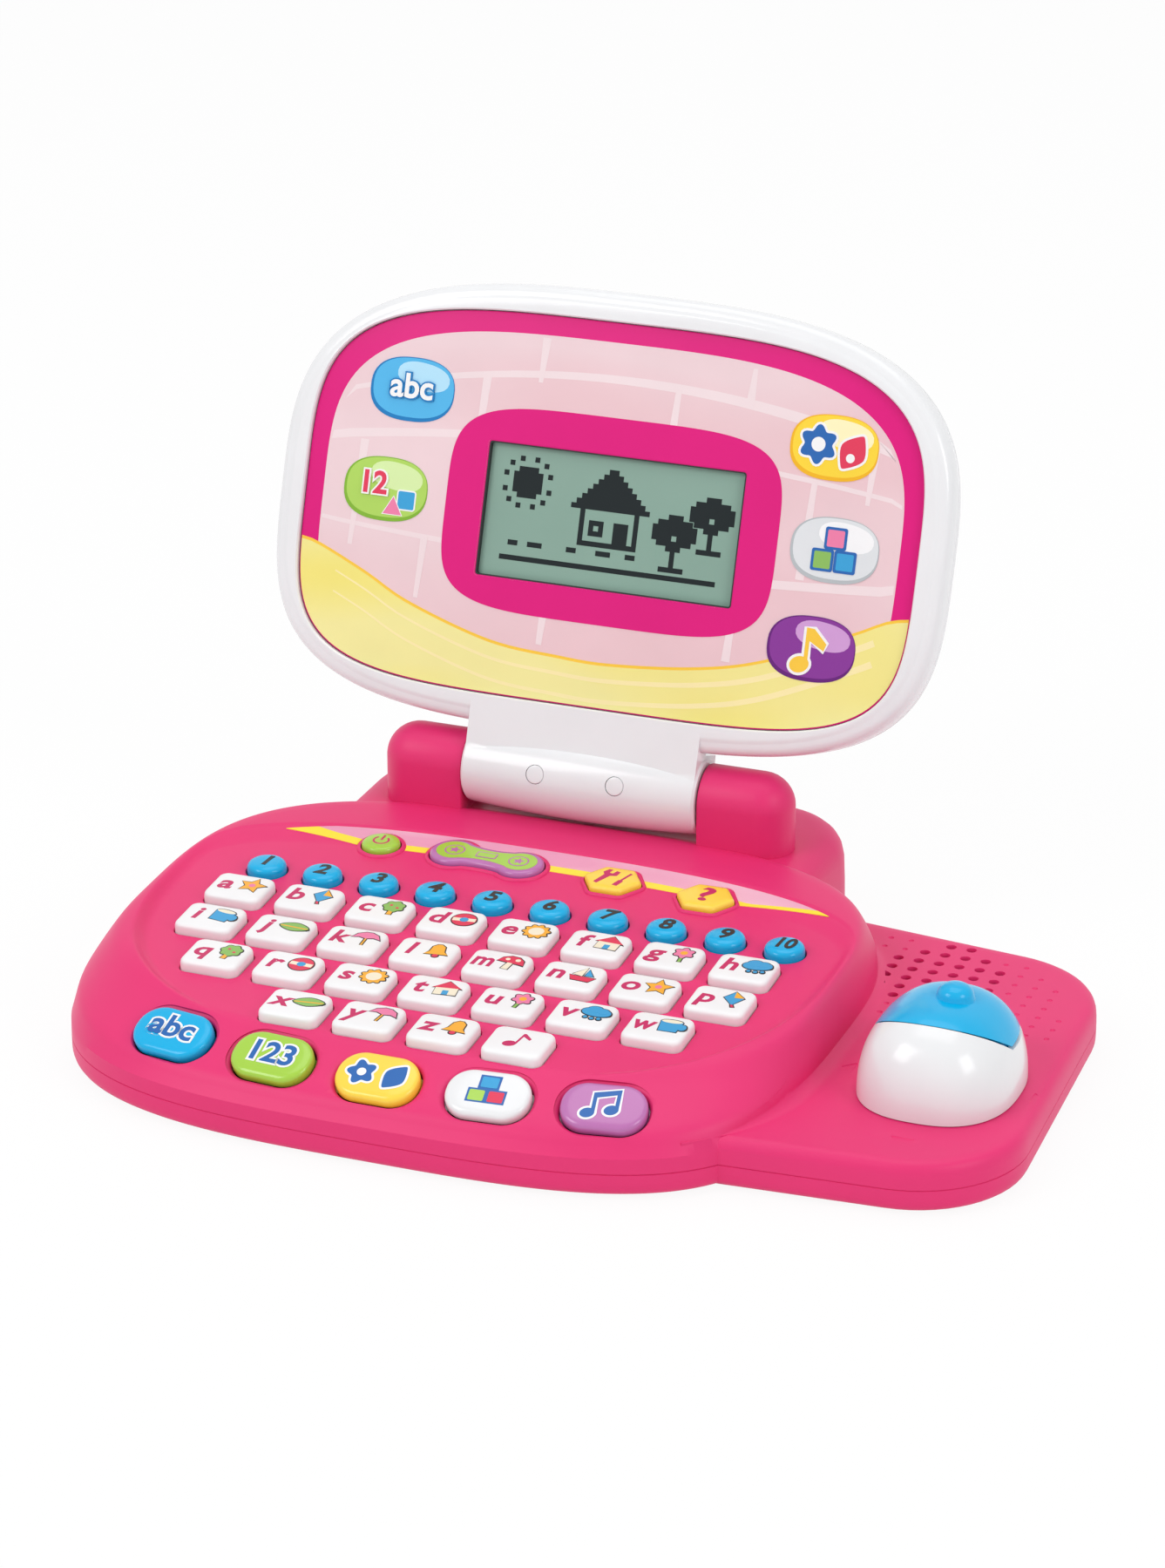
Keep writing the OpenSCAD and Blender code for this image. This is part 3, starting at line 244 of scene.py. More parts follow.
def finish_of(name, colour, rough=0.35, grain=2600, depth=0.12, specular=0.4, coat=0.0, metallic=0.0):
    """A moulded or metal finish: the surface group drives one plain shader."""
    material = bpy.data.materials.new(name)
    material.use_nodes = True
    tree = material.node_tree
    shader = tree.nodes["Principled BSDF"]
    surface = add_node(tree, "Group", node_tree=moulding, location=(-260, 0))
    for node, socket, value in ((surface, "Colour", (*colour, 1)), (surface, "Rough", rough),
                                (surface, "Grain", grain), (surface, "Depth", depth),
                                (shader, "Specular IOR Level", specular), (shader, "Coat Weight", coat),
                                (shader, "Coat Roughness", 0.08), (shader, "Metallic", metallic)):
        node.inputs[socket].default_value = value
    wire(tree, (surface, "Colour", shader, "Base Color"), (surface, "Rough", shader, "Roughness"),
         (surface, "Normal", shader, "Normal"))
    return material


def paint(piece, *materials):
    piece.data.materials.clear()
    for material in materials:
        piece.data.materials.append(material)
    return piece


def mount(piece, body, slot, *nodes):
    """The piece moves with its body and stands for the solids it covers; slot is not used."""
    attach(piece, body)
    if nodes:
        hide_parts(*nodes)
    return piece


PINK = finish_of("pink_plastic", (0.755, 0.029, 0.165), 0.42, 2400, 0.14, 0.30)


def drawn_in(x, side, t):
    """The outline's right side, nearer to the keys than the left one."""
    if x <= 0:
        return x
    draw = BODY_HALF - BODY_RIGHT - side * (1 - RIGHT_SHARE)
    return x - draw * (x / (BODY_HALF - side - t)) ** RIGHT_POWER


def body_outline(side, front, t=0.0):
    outline = oval(BODY_HALF - side - t, BODY_FRONT - front - t, BODY_BACK - side - t,
                   BODY_FRONT_N, BODY_BACK_N, BODY_MID_Y)
    return [(drawn_in(x, side, t), y) for x, y in outline]


def rear_outline(inset):
    return round_outline(box(-REAR_HALF, REAR_FRONT_Y, REAR_HALF, REAR_Y), REAR_RADII, inset)


def platform_outline(inset):
    return round_outline(PLATFORM_CORNERS, PLATFORM_RADII, inset)


# each profile runs from the bottom up: how far the skin is drawn in, and its height
LOWER_PROFILE = [(2.6, 1.2), (1.7, 1.5), (0.9, 2.1), (0.35, 3.0), (0.05, 4.2), (0, 6), (0, 8.55), (0.3, 8.75),
                 (0.3, 9)]
FLOOR_TOP, LOWER_WALL, ABOVE = 3.4, 5, 12
DOOR_HOLE = box(-33, 67, 33, 117)
lower_shell = stack("lower_shell", lambda t: body_outline(0, 0, t), LOWER_PROFILE)
add(lower_shell, stack("lower_platform", platform_outline, LOWER_PROFILE),
    stack("lower_rear", rear_outline, LOWER_PROFILE))
HOLLOW_PROFILE = [(LOWER_WALL, FLOOR_TOP), (LOWER_WALL, ABOVE)]
inner = stack("inside_of_tray", lambda t: body_outline(0, 0, t), HOLLOW_PROFILE)
add(inner, stack("inside_platform", platform_outline, HOLLOW_PROFILE),
    stack("inside_rear", rear_outline, HOLLOW_PROFILE))
cut(lower_shell, inner, slab("door_hole", DOOR_HOLE, 0, ABOVE))
SHELL_SCREWS = [(-111.3, -45), (111.3, -45), (-84, 56), (84, 56), (-67, 106), (67, 106),
                (176, -54), (172, 48), (-54, -84.5), (54, -84.5)]
SCREW_BORE_R, SCREW_BORE_TOP = 3.1, 5.2
bores = [slab("bore", disc(x, y, SCREW_BORE_R), 0, SCREW_BORE_TOP) for x, y in SHELL_SCREWS]
cut(lower_shell, join(bores, "screw_bores"))
settle(soften(lower_shell))
mount(paint(lower_shell, PINK), "base", "pink_abs", "base_lower")

# ---- Battery compartment, screws, feet and the works inside ------------------------------------
# Three AA cells behind a pink door, steel self-tapping screws, rubber feet, a green board with its
# silicone key sheet, and the loudspeaker: they keep the shape of their solids and get their finish.

BLACK_RUBBER = finish_of("foot_rubber", (0.03, 0.03, 0.033), 0.75, 3500, 0.4, 0.3)
STEEL = finish_of("plated_steel", (0.62, 0.62, 0.63), 0.28, 5200, 0.1, 0.5, 0, 1.0)
BOARD = finish_of("board_green", (0.02, 0.16, 0.07), 0.42, 1800, 0.1)
SILICONE = finish_of("silicone_sheet", (0.62, 0.62, 0.60), 0.6, 1500, 0.2, 0.4)
JACKET = finish_of("cell_jacket_foil", (0.70, 0.42, 0.08), 0.3, 1200, 0.06, 0.5, 0.3)
CONE = finish_of("speaker_cone", (0.03, 0.03, 0.035), 0.8, 1500, 0.5, 0.3)
GREY = finish_of("grey_slide", (0.35, 0.35, 0.37), 0.45, 2200, 0.15)
for node, material in (
        ("battery_door", PINK), ("batteries", JACKET), ("battery_contacts", STEEL), ("screws", STEEL),
        ("feet", BLACK_RUBBER), ("circuit_board", BOARD), ("rubber_keypad", SILICONE), ("speaker", CONE),
        ("hinge_pins", STEEL), ("mouse_carriage", GREY), ("lcd_module", GREY), ("lid_screws", STEEL)):
    paint(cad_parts[node], material)

# ---- Upper shell --------------------------------------------------------------------------------
# The pink body: a rounded keyboard tray whose floor is sunk behind a soft rim, a low platform for
# the mouse at its right, and two ears at the back that hold the lid. One moulding in satin ABS.

WALL, PLATFORM_Z = 2.2, 17.5
RIM_Z, RIM_SLOPE = 37.3, 0.038
FLOOR_Z, FLOOR_TILT = 34.8, radians(3.3)
WELL_Y, WELL_HALF, WELL_FRONT, WELL_BACK, WELL_FRONT_N, WELL_BACK_N = 10.0, 115.5, 104.0, 42.0, 2.8, 2.7
WELL_SIDE, LABEL_SLOPE = 4.6, 13.0
WALL_CURVE, CREASE = 1.7, 1.3
# how far side and front draw in, against the drop below the rim
BODY_RINGS = [(1, 2.4, 16.6), (1.8, 5.7, 13), (3.7, 14.7, 9), (6, 23.7, 5), (8.2, 29.3, 2.0), (10.6, 34, 0.5),
              (14, 39, 0)]
BODY_FOOT_Z = 14
# the innermost ring of the well's floor, and how the rings between rim and floor are shared out
INNER_HALF, INNER_FRONT, INNER_BACK, INNER_N, INNER_GAP = 104, 88, 25, 2.8, 1.2
WALL_SHARES = [1.12, 1.06, 1.0, 0.95, 0.9, 0.84, 0.78, 0.7, 0.6, 0.5, 0.4, 0.28, 0.14, 0]
FLOOR_PARTS, SLOPE_PARTS = 14, 4
ON_FLOOR = Matrix.Translation((0, 0, FLOOR_Z)) @ Matrix.Rotation(FLOOR_TILT, 4, "X")


def rim_at(y):
    return RIM_Z + RIM_SLOPE * y


def floor_at(y):
    return FLOOR_Z + tan(FLOOR_TILT) * y


def reach_of(c, s, outline):
    """How far a ray from the well's centre runs to an outline round it."""
    for (ax, ay), (bx, by) in zip(outline, outline[1:] + outline[:1]):
        ay, by = ay - WELL_Y, by - WELL_Y
        a_side, b_side = c * ay - s * ax, c * by - s * bx
        if a_side <= 0 < b_side and c * (ax + bx) + s * (ay + by) > 0:
            share = a_side / (a_side - b_side)
            return c * (ax + (bx - ax) * share) + s * (ay + (by - ay) * share)


def soft_radius(c, s, half, reach, n):
    return ((abs(c) / half) ** n + (abs(s) / reach) ** n) ** (-1 / n)


def well_reach(c, s, side, back):
    reach, n = (WELL_FRONT - side, WELL_FRONT_N) if s < 0 else (WELL_BACK - back, WELL_BACK_N)
    return soft_radius(c, s, WELL_HALF - side, reach, n)


def curve_through(points, parts):
    """Smooth line through points, with so many parts between two of them."""
    line = []
    for k in range(len(points) - 1):
        a, b, c, d = (points[max(0, min(len(points) - 1, k + j))] for j in (-1, 0, 1, 2))
        for step in range(parts):
            t = step / parts
            line.append(tuple(
                0.5 * (2 * q + (r - p) * t + (2 * p - 5 * q + 4 * r - v) * t * t
                       + (3 * q - p - 3 * r + v) * t ** 3)
                for p, q, r, v in zip(a, b, c, d)))
    return line + [tuple(points[-1])]


def blend_low(a, b, width):
    """The lower of two heights, with the crease between them rounded."""
    share = max(width - abs(a - b), 0) / width
    return min(a, b) - share * share * width / 4


def wall_height(r, y, rim_r, floor_r):
    """Height of the well: flat floor, then a concave wall that rises to the rim."""
    share = (r - floor_r) / (rim_r - floor_r)
    if share <= 0:
        return floor_at(y)
    if share <= 1:
        return floor_at(y) + (rim_at(y) - floor_at(y)) * share ** WALL_CURVE
    return rim_at(y) + (r - rim_r) * 1.2


def slope_height(r, slope):
    """Height of the body's outer slope at a radius; None inside its last ring."""
    for (r_out, z_out), (r_in, z_in) in zip(slope, slope[1:]):
        if r_in <= r <= r_out:
            return z_in + (z_out - z_in) * (r - r_in) / max(r_out - r_in, 1e-6)
    return None


def tray_rings(t, low):
    """Rings of the keyboard body with its well, moved inwards by t."""
    columns = []
    foot = body_outline(0, 0, t)
    outlines = [(body_outline(side, front, t), drop) for side, front, drop in BODY_RINGS]
    for step in range(SHELL_POINTS):
        c, s = polar(1, 2 * pi * step / SHELL_POINTS)
        foot_r = reach_of(c, s, foot)
        profile = []
        for outline, drop in outlines:
            r = reach_of(c, s, outline)
            profile.append((r, rim_at(WELL_Y + r * s) - drop - t))
        slope = curve_through(profile, SLOPE_PARTS)
        rim_r, floor_r = well_reach(c, s, -t, -t), well_reach(c, s, WELL_SIDE - t, LABEL_SLOPE - t)
        last = soft_radius(c, s, INNER_HALF, INNER_FRONT if s < 0 else INNER_BACK, INNER_N)
        radii = [r for r, _ in slope]
        radii += [floor_r + (rim_r - floor_r) * share for share in WALL_SHARES]
        radii += [last + (floor_r - last) * k / FLOOR_PARTS for k in range(1, FLOOR_PARTS)]
        radii = [min(max(r, last + INNER_GAP), slope[0][0]) for r in radii]
        radii.sort(reverse=True)
        for k in range(1, len(radii)):
            radii[k] = min(radii[k], radii[k - 1] - 0.02)
        column = [(foot_r, low), (foot_r, low + 0.8), (foot_r - 0.1, BODY_FOOT_Z)]
        for r in radii:
            y = WELL_Y + r * s
            top = slope_height(r, slope)
            if top is None:
                top = rim_at(y) - t
            column.append((r, blend_low(top, wall_height(r, y, rim_r, floor_r) - t, CREASE)))
        column += [(r, floor_at(WELL_Y + r * s) - t) for r in (last, last * 0.985)]
        columns.append([(r * c, WELL_Y + r * s, z) for r, z in column])
    return [[column[k] for column in columns] for k in range(len(columns[0]))]


PLATFORM_PROFILE = [(0, 9), (0, 10), (0.08, 12.6), (0.3, 14.2), (0.75, 15.5), (1.5, 16.5), (2.5, 17.12),
                    (3.8, 17.42), (5.5, PLATFORM_Z)]
REAR_PROFILE = [(0, 9), (0.2, 20), (0.6, 29), (1.4, 32.4), (2.8, 34.8), (4.8, 36.5), (7.6, 37.6), (11, 38)]


def shell_of(name, t, low):
    """Keyboard body, platform and rear block as one moulding, moved inwards by t."""
    shell = skin(name, tray_rings(t, low))
    for outline_of, profile in ((platform_outline, PLATFORM_PROFILE), (rear_outline, REAR_PROFILE)):
        add(shell, stack("block", outline_of, [(t, low)] + [(inset + t, z - t) for inset, z in profile[1:]]))
    return shell


def bar(name, radius, half):
    """A round bar about the hinge axis."""
    return skin(name, [[(x, y, z) for y, z in disc(HINGE_Y, HINGE_Z, radius, 96)] for x in (-half, half)])


EAR_IN, EAR_LEN, EAR_R = 42.2, 30.6, 11.3
EAR_FOOT, BALL_STEPS = (46, 40, 32), (0, 10, 20, 30, 40, 50, 58, 66, 73, 79, 84, 88)
TROUGH_R = 15.6


def ear_rings(side):
    """An arch with a ball end: it stands on the body and holds the end of the lid's barrel."""
    mid, r = EAR_IN + EAR_LEN - EAR_R, EAR_R
    stations = [(EAR_IN, r - 0.7), (EAR_IN + 0.25, r - 0.25), (EAR_IN + 0.8, r)]
    stations += [(mid + r * sin(a), r * cos(a)) for a in map(radians, BALL_STEPS)]
    rings = []
    for x, radius in stations:
        arch = [polar(radius, radians(a), (HINGE_Y, HINGE_Z)) for a in range(0, 181, 6)]
        arch += [(HINGE_Y - radius, z) for z in EAR_FOOT] + [(HINGE_Y + radius, z) for z in EAR_FOOT[::-1]]
        rings.append([(side * x, y, z) for y, z in arch])
    return rings


upper_shell, hollow = shell_of("upper_shell", 0, PARTING_Z), shell_of("hollow", WALL, PARTING_Z - 1)
cut(hollow, bar("trough_wall", TROUGH_R + WALL, EAR_IN + WALL))
cut(upper_shell, hollow, bar("trough", TROUGH_R, EAR_IN))
for side in (-1, 1):
    add(upper_shell, skin("ear", ear_rings(side)))

FILLET_SIZE, FILLET_FADE, FILLET_STEPS = 6.2, 30, range(-32, 39)
FILLET_IN, FILLET_OUT, FILLET_FOOT_Z, FRONT_EDGE_SLOPE = -6, -2.0, 12.5, 0.063


def fillet_rings():
    """The hollow curve between body and platform; it dies out at the platform's front edge."""
    outline = body_outline(0, 0)
    count = len(outline)
    rings = []
    for step in FILLET_STEPS:
        (ax, ay), (x, y), (bx, by) = [outline[(step + k) % count] for k in (-1, 0, 1)]
        out = Vector((by - ay, ax - bx)).normalized()
        edge_y = PLATFORM_CORNERS[1][1] - FRONT_EDGE_SLOPE * (PLATFORM_CORNERS[1][0] - x)
        size = FILLET_SIZE * min(1, max((y - edge_y) / FILLET_FADE, 0.02)) ** 0.8
        arc = [(FILLET_OUT + size * (1 - sin(a)), PLATFORM_Z + size * (1 - cos(a)))
               for a in map(radians, range(0, 91, 10))]
        section = [(FILLET_IN, FILLET_FOOT_Z), (arc[0][0], FILLET_FOOT_Z)] + arc + [(FILLET_IN, arc[-1][1])]
        rings.append([(x + out.x * d, y + out.y * d, z) for d, z in section])
    return rings


add(upper_shell, skin("fillet", fillet_rings()))

# collars and openings
KEY_W, KEY_D, KEY_R = 20.0, 17.0, 3.0
GAP = 0.4
LETTERS = [("abcdefgh"[k], k, 0) for k in range(8)] + [("ijklmnop"[k], k, 1) for k in range(8)]
LETTERS += [("qrstuvw"[k], k + 0.5, 2) for k in range(7)]
LETTERS += [("x", 2, 3), ("y", 3, 3), ("z", 4, 3), ("note", 5, 3)]
KEY_PITCH, ROW_PITCH, FIRST_ROW_Y = 25, 22.4, -8.5
NUMBER_PITCH, NUMBER_LEFT, NUMBER_Y = 20.1, -86.45, 10.7
NUMBER_R = 6.6
FUNCTION_AT = {"power": (-57.2, 38.3), "selector": (-19.5, 39.3), "tools": (25.7, 37.8), "help": (58.7, 35.8)}


def key_at(column, row):
    return (column - 3.5) * KEY_PITCH, FIRST_ROW_Y - ROW_PITCH * row


def number_at(index):
    return NUMBER_LEFT + NUMBER_PITCH * index, NUMBER_Y


def moved(outline, at):
    return [(x + at[0], y + at[1]) for x, y in outline]


def spun(outline, degrees, at=(0, 0), size=1):
    """An outline turned, scaled and set down at its place."""
    c, s = polar(1, radians(degrees))
    return [(at[0] + (x * c - y * s) * size, at[1] + (x * s + y * c) * size) for x, y in outline]


def peanut(grow, steps=22):
    """The two lobes and the waist of the player selector, turned a little."""
    lobe, pitch, waist = 8.2 + grow, 12.0, 5.6 + grow
    half = [polar(lobe, radians(128) * k / steps, (pitch, 0)) for k in range(-steps, steps + 1)]
    end_x, end_y = half[-1]
    for x in [end_x * (1 - 2 * k / 12) for k in range(1, 12)]:
        half.append((x, waist + (end_y - waist) * (x / end_x) ** 2))
    return spun(half + [(-x, -y) for x, y in half], -3, FUNCTION_AT["selector"])


def hexagon(at, grow):
    a, b = 10.25 + grow, 8 + grow
    corners = [(a, 0), (a / 2, b), (-a / 2, b), (-a, 0), (-a / 2, -b), (a / 2, -b)]
    return moved(round_outline(corners, [max(2.2 + grow, 0.4)] * 6, 0, 6), at)


def function_outline(name, grow):
    if name == "power":
        return disc(*FUNCTION_AT[name], 6.5 + grow, 72)
    if name == "selector":
        return peanut(grow)
    return hexagon(FUNCTION_AT[name], grow)


COLLAR_PROFILE = [(1.75, -1), (1.75, -0.2), (1.65, 0.1), (1.5, 0.42), (1.2, 0.68), (0.8, 0.8), (0.3, 0.8),
                  (0.3, 0.6)]
for name in FUNCTION_AT:
    collar = stack("collar", lambda grow, name=name: function_outline(name, grow), COLLAR_PROFILE)
    collar.data.transform(ON_FLOOR)
    add(upper_shell, collar)

HOLE_PROFILE = [(0, -8), (0, -0.35), (0.1, -0.1), (0.32, 0.05), (0.6, 0.2), (0.6, 1.5)]
holes = []
for _, column, row in LETTERS:
    at = key_at(column, row)
    holes.append(stack("key_hole", lambda grow, at=at: moved(
        round_rect(KEY_W + 2 * GAP, KEY_D + 2 * GAP, KEY_R + GAP, -grow, 6), at), HOLE_PROFILE))
for index in range(10):
    at = number_at(index)
    holes.append(stack("number_hole", lambda grow, at=at: disc(*at, NUMBER_R + GAP + grow, 64), HOLE_PROFILE))
for name in FUNCTION_AT:
    holes.append(slab("function_hole", function_outline(name, GAP), -8, 3))
floor_holes = join(holes, "floor_holes")
floor_holes.data.transform(ON_FLOOR)
cut(upper_shell, floor_holes)

MODE_W, MODE_D, MODE_R = 27.0, 17.5, 8.25
MODE_ARC, MODE_PITCH, MODE_MID_Y, MODE_MID_Z, MODE_TILT = 430.0, 36, -98.0, 23.91, radians(25.755)


def mode_place(index):
    yaw = asin((index - 2) * MODE_PITCH / MODE_ARC)
    at = (MODE_ARC * sin(yaw), MODE_MID_Y + MODE_ARC * (1 - cos(yaw)), MODE_MID_Z)
    return Matrix.Translation(at) @ Matrix.Rotation(yaw, 4, "Z") @ Matrix.Rotation(MODE_TILT, 4, "X")


def mode_outline(grow):
    return round_rect(MODE_W, MODE_D, MODE_R, -grow, 14)


POCKET_PROFILE = [(0.4, -9), (0.4, -1.6), (0.46, -1.1), (0.65, -0.7), (0.95, -0.35), (1.35, -0.1),
                  (1.9, 0.12), (1.9, 4)]
pockets = []
for index in range(5):
    pocket = stack("pocket", mode_outline, POCKET_PROFILE)
    pocket.data.transform(mode_place(index))
    pockets.append(pocket)
cut(upper_shell, join(pockets, "pockets"))

GRILLE_ROWS, GRILLE_PITCH, GRILLE_AT = [2, 4, 6, 6, 6, 6, 4, 2], 6.9, (135.2, 47.4)
SOUND_HOLE = [(1.6, 14), (1.6, 17.1), (1.8, 17.6), (2, 18)]


def grille_at(column, row):
    return GRILLE_AT[0] + column * GRILLE_PITCH, GRILLE_AT[1] + (3.5 - row) * GRILLE_PITCH


def hole(name, at, profile, count):
    """A round hole or plug; its profile gives radius and height."""
    return stack(name, lambda radius: disc(*at, radius, count), profile)


grille = [hole("sound_hole", grille_at(k - (count - 1) / 2, row), SOUND_HOLE, 24)
          for row, count in enumerate(GRILLE_ROWS) for k in range(count)]
cut(upper_shell, join(grille, "grille"))

# blind pits go on in the same grid round the sound holes; four arrows are sunk round the mouse
MOUSE_X, MOUSE_Y, STEM_HOLE = 158.5, -25.0, (19, 19, 1.5)


def inside(outline, x, y):
    """Whether a point lies inside an outline: a ray from it crosses the outline an odd number of times."""
    crossed = False
    for (ax, ay), (bx, by) in zip(outline, outline[1:] + outline[:1]):
        if (ay > y) != (by > y) and x < ax + (bx - ax) * (y - ay) / (by - ay):
            crossed = not crossed
    return crossed


# pits lie behind these lines, the second one at the platform's right side, and clear of the back arrow
PITS_BACK_OF, RIGHT_PITS_BACK_OF, RIGHT_PITS_X, ARROW_AT, ARROW_ROOM = 13, 30, 183, 41, 6.5
PIT = [(0.35, 17.0), (0.8, 17.25), (1.0, 17.6), (1.0, 18)]
ARROW = [(0.35, 17.15), (0, 17.55), (0, 18)]
ARROW_REACH, ARROW_HALF = {0: 28.5, 90: 39.5, 180: 28.5, 270: 39.5}, 4.6
pits = []
for row in range(-1, 9):
    half_row = GRILLE_ROWS[row] / 2 if 0 <= row < 8 else 0
    for column in [k - 0.5 for k in range(-4, 9)]:
        x, y = grille_at(column, row)
        by_sound_hole = -half_row < column < half_row
        on_platform = inside(platform_outline(9), x, y) and not inside(body_outline(-6, -6), x, y)
        by_mouse = y <= (PITS_BACK_OF if x < RIGHT_PITS_X else RIGHT_PITS_BACK_OF)
        by_arrow = hypot(x - MOUSE_X, y - MOUSE_Y - ARROW_AT) <= ARROW_ROOM
        if on_platform and not by_sound_hole and not by_mouse and not by_arrow:
            pits.append(hole("pit", (x, y), PIT, 16))
for turn, reach in ARROW_REACH.items():
    corners = spun([(reach, -ARROW_HALF), (reach + ARROW_HALF, 0), (reach, ARROW_HALF)], turn)
    pits.append(stack("arrow", lambda inset, corners=corners: moved(
        round_outline(corners, [0.6] * 3, inset, 4), (MOUSE_X, MOUSE_Y)), ARROW))
cut(upper_shell, join(pits, "pits_and_arrows"),
    slab("stem_hole", moved(round_rect(*STEM_HOLE), (MOUSE_X, MOUSE_Y)), 14, 19))
settle(soften(upper_shell, 28))
mount(paint(upper_shell, PINK), "base", "pink_abs", "base_upper")

# ---- Printed strip behind the keys ---------------------------------------------------------------
# A lens-shaped sticker on the sloped back wall of the well: pale pink with a yellow lower edge,
# printed on paper film. The collars of the four function buttons stand through it.

STRIP_FROM, STRIP_TO, STRIP_STEPS, STRIP_ROWS = radians(14.6), radians(162.6), 222, 9
# shares of the way from floor to rim: the strip's lower and upper edge, and its yellow band
STRIP_LOW, STRIP_HIGH, STRIP_BAND = 0.06, 0.93, 0.27
STRIP_LIFT, STRIP_SINK = 0.13, -0.1
# shares of the length: the two tips, and the dip of the upper edge at the left; then how deep that dip is
RIGHT_TIP, LEFT_TIP, DIP_RUN, DIP = 0.046, 0.038, 0.05, 0.12


def strip_point(turn, share, lift):
    c, s = cos(turn), sin(turn)
    rim_r, floor_r = well_reach(c, s, 0, 0), well_reach(c, s, WELL_SIDE, LABEL_SLOPE)
    r = floor_r + (rim_r - floor_r) * share
    y = WELL_Y + r * s
    return r * c, y, wall_height(r, y, rim_r, floor_r) + lift


def strip(name, part):
    """One colour of the strip; it tapers to a point at both ends."""
    rings = []
    # the yellow band widens to the whole strip at its left tip
    for step in range(STRIP_STEPS + 1):
        turn = STRIP_FROM + (STRIP_TO - STRIP_FROM) * step / STRIP_STEPS
        from_right, from_left = step / STRIP_STEPS, (STRIP_STEPS - step) / STRIP_STEPS
        high = STRIP_HIGH - DIP * max(0, 1 - from_left / DIP_RUN)
        climb = max(0, 1 - from_right / RIGHT_TIP, 1 - from_left / LEFT_TIP)
        low = STRIP_LOW + (high - 0.012 - STRIP_LOW) * climb
        edge = min(high, low + STRIP_BAND + 0.8 * min(1, max(0, (0.06 - from_left) / 0.05)))
        a, b = (low, edge) if part == "edge" else (edge - 0.001, high)
        shares = [a + (b - a) * k / STRIP_ROWS for k in range(STRIP_ROWS + 1)]
        rings.append([strip_point(turn, share, STRIP_LIFT) for share in shares]
                     + [strip_point(turn, share, STRIP_SINK) for share in reversed(shares)])
    return skin(name, rings)


def streaked(material, other, size, sharpness):
    """Gives a printed finish broad soft streaks of a second colour."""
    tree = material.node_tree
    surface = next(node for node in tree.nodes if node.type == "GROUP")
    first = surface.inputs["Colour"].default_value[:]
    coords = add_node(tree, "TexCoord")
    stretch = add_node(tree, "Mapping", {"Scale": (0.35, 1, 1)})
    cloud = add_node(tree, "TexNoise", {"Scale": size, "Detail": 1})
    share = add_node(tree, "MapRange", {"From Min": 0.5 - sharpness * 0.2, "From Max": 0.5 + sharpness * 0.2})
    mix = add_node(tree, "Mix", {"A": first, "B": (*other, 1)}, data_type="RGBA")
    wire(tree, (coords, "Object", stretch, "Vector"), (stretch, "Vector", cloud, "Vector"),
         (cloud, "Fac", share, "Value"), (share, "Result", mix, "Factor"),
         (mix, "Result", surface, "Colour"))
    return material


PALE_PRINT = streaked(finish_of("pale_pink_print", (0.80, 0.33, 0.49), 0.30, 900, 0.03, 0.3),
                      (0.90, 0.60, 0.69), 26, 0.4)
YELLOW_PRINT = finish_of("yellow_print", (0.93, 0.76, 0.05), 0.30, 900, 0.03, 0.3)
label_pink, label_yellow = strip("label_ground", "ground"), strip("label_edge", "edge")
for piece, material in ((label_pink, PALE_PRINT), (label_yellow, YELLOW_PRINT)):
    for name in FUNCTION_AT:
        cutter = slab("label_cut", function_outline(name, 1.9), -3, 12)
        cutter.data.transform(ON_FLOOR)
        cut(piece, cutter)
    settle(soften(piece, 40))
    paint(piece, material)
mount(label_pink, "base", "printed_sheet", "function_label")
mount(label_yellow, "base", "printed_sheet")

# ---- Letter keys ---------------------------------------------------------------------------------
# Twenty-seven white caps with soft edges and a faintly crowned top, each on its own stub; the letter
# and a small picture are pad-printed on the top. One cap is modelled and copied.


def ink_of(name, colour, rough=0.35, specular=0.4):
    return finish_of(name, colour, rough, 900, 0.02, specular)


def family(prefix, inks, specular=0.4):
    """A list of inks, one for each name and colour."""
    return [ink_of(prefix + name, colour, specular=specular) for name, colour in inks.items()]


KEY_WHITE = finish_of("key_white_plastic", (0.86, 0.86, 0.87), 0.30, 2600, 0.08)
CRIMSON = ink_of("crimson_ink", (0.56, 0.022, 0.125), specular=0.25)
BLACK_INK = ink_of("black_ink", (0.012, 0.012, 0.014))
INKS = family("ink_", {"red": (0.72, 0.03, 0.09), "sky": (0.03, 0.34, 0.66), "leaf": (0.24, 0.48, 0.10),
                       "amber": (0.90, 0.42, 0.03), "rose": (0.82, 0.20, 0.38), "cream": (0.88, 0.80, 0.62)})
RED, SKY, LEAF, AMBER_INK, ROSE, CREAM = range(6)
KEY_PROFILE = [(0, -3.4), (0, -2), (0, 0.5), (0.05, 1.9), (0.2, 2.6), (0.5, 3.05), (0.95, 3.33), (1.7, 3.48),
               (3.2, 3.56), (5.2, 3.6)]
# lower and upper end of the flange and of the stub under every key and function button
FLANGE, STUB, STUB_R = (-3.5, -2.4), (-4.5, -3.4), 3
KEY_FLANGE = (22, 17, 3)


def key_outline(inset):
    return round_rect(KEY_W - 2 * inset, KEY_D - 2 * inset, max(KEY_R - inset * 0.45, 0.6))


key_master = join([stack("key_master", key_outline, KEY_PROFILE),
                   slab("flange", round_rect(*KEY_FLANGE), *FLANGE),
                   slab("stub", disc(0, 0, STUB_R), *STUB)], "key_master")
soften(key_master, 30)


def copy_of(piece, name):
    only(piece)
    bpy.ops.object.duplicate(linked=False)
    twin = bpy.context.active_object
    twin.name = twin.data.name = name
    return twin


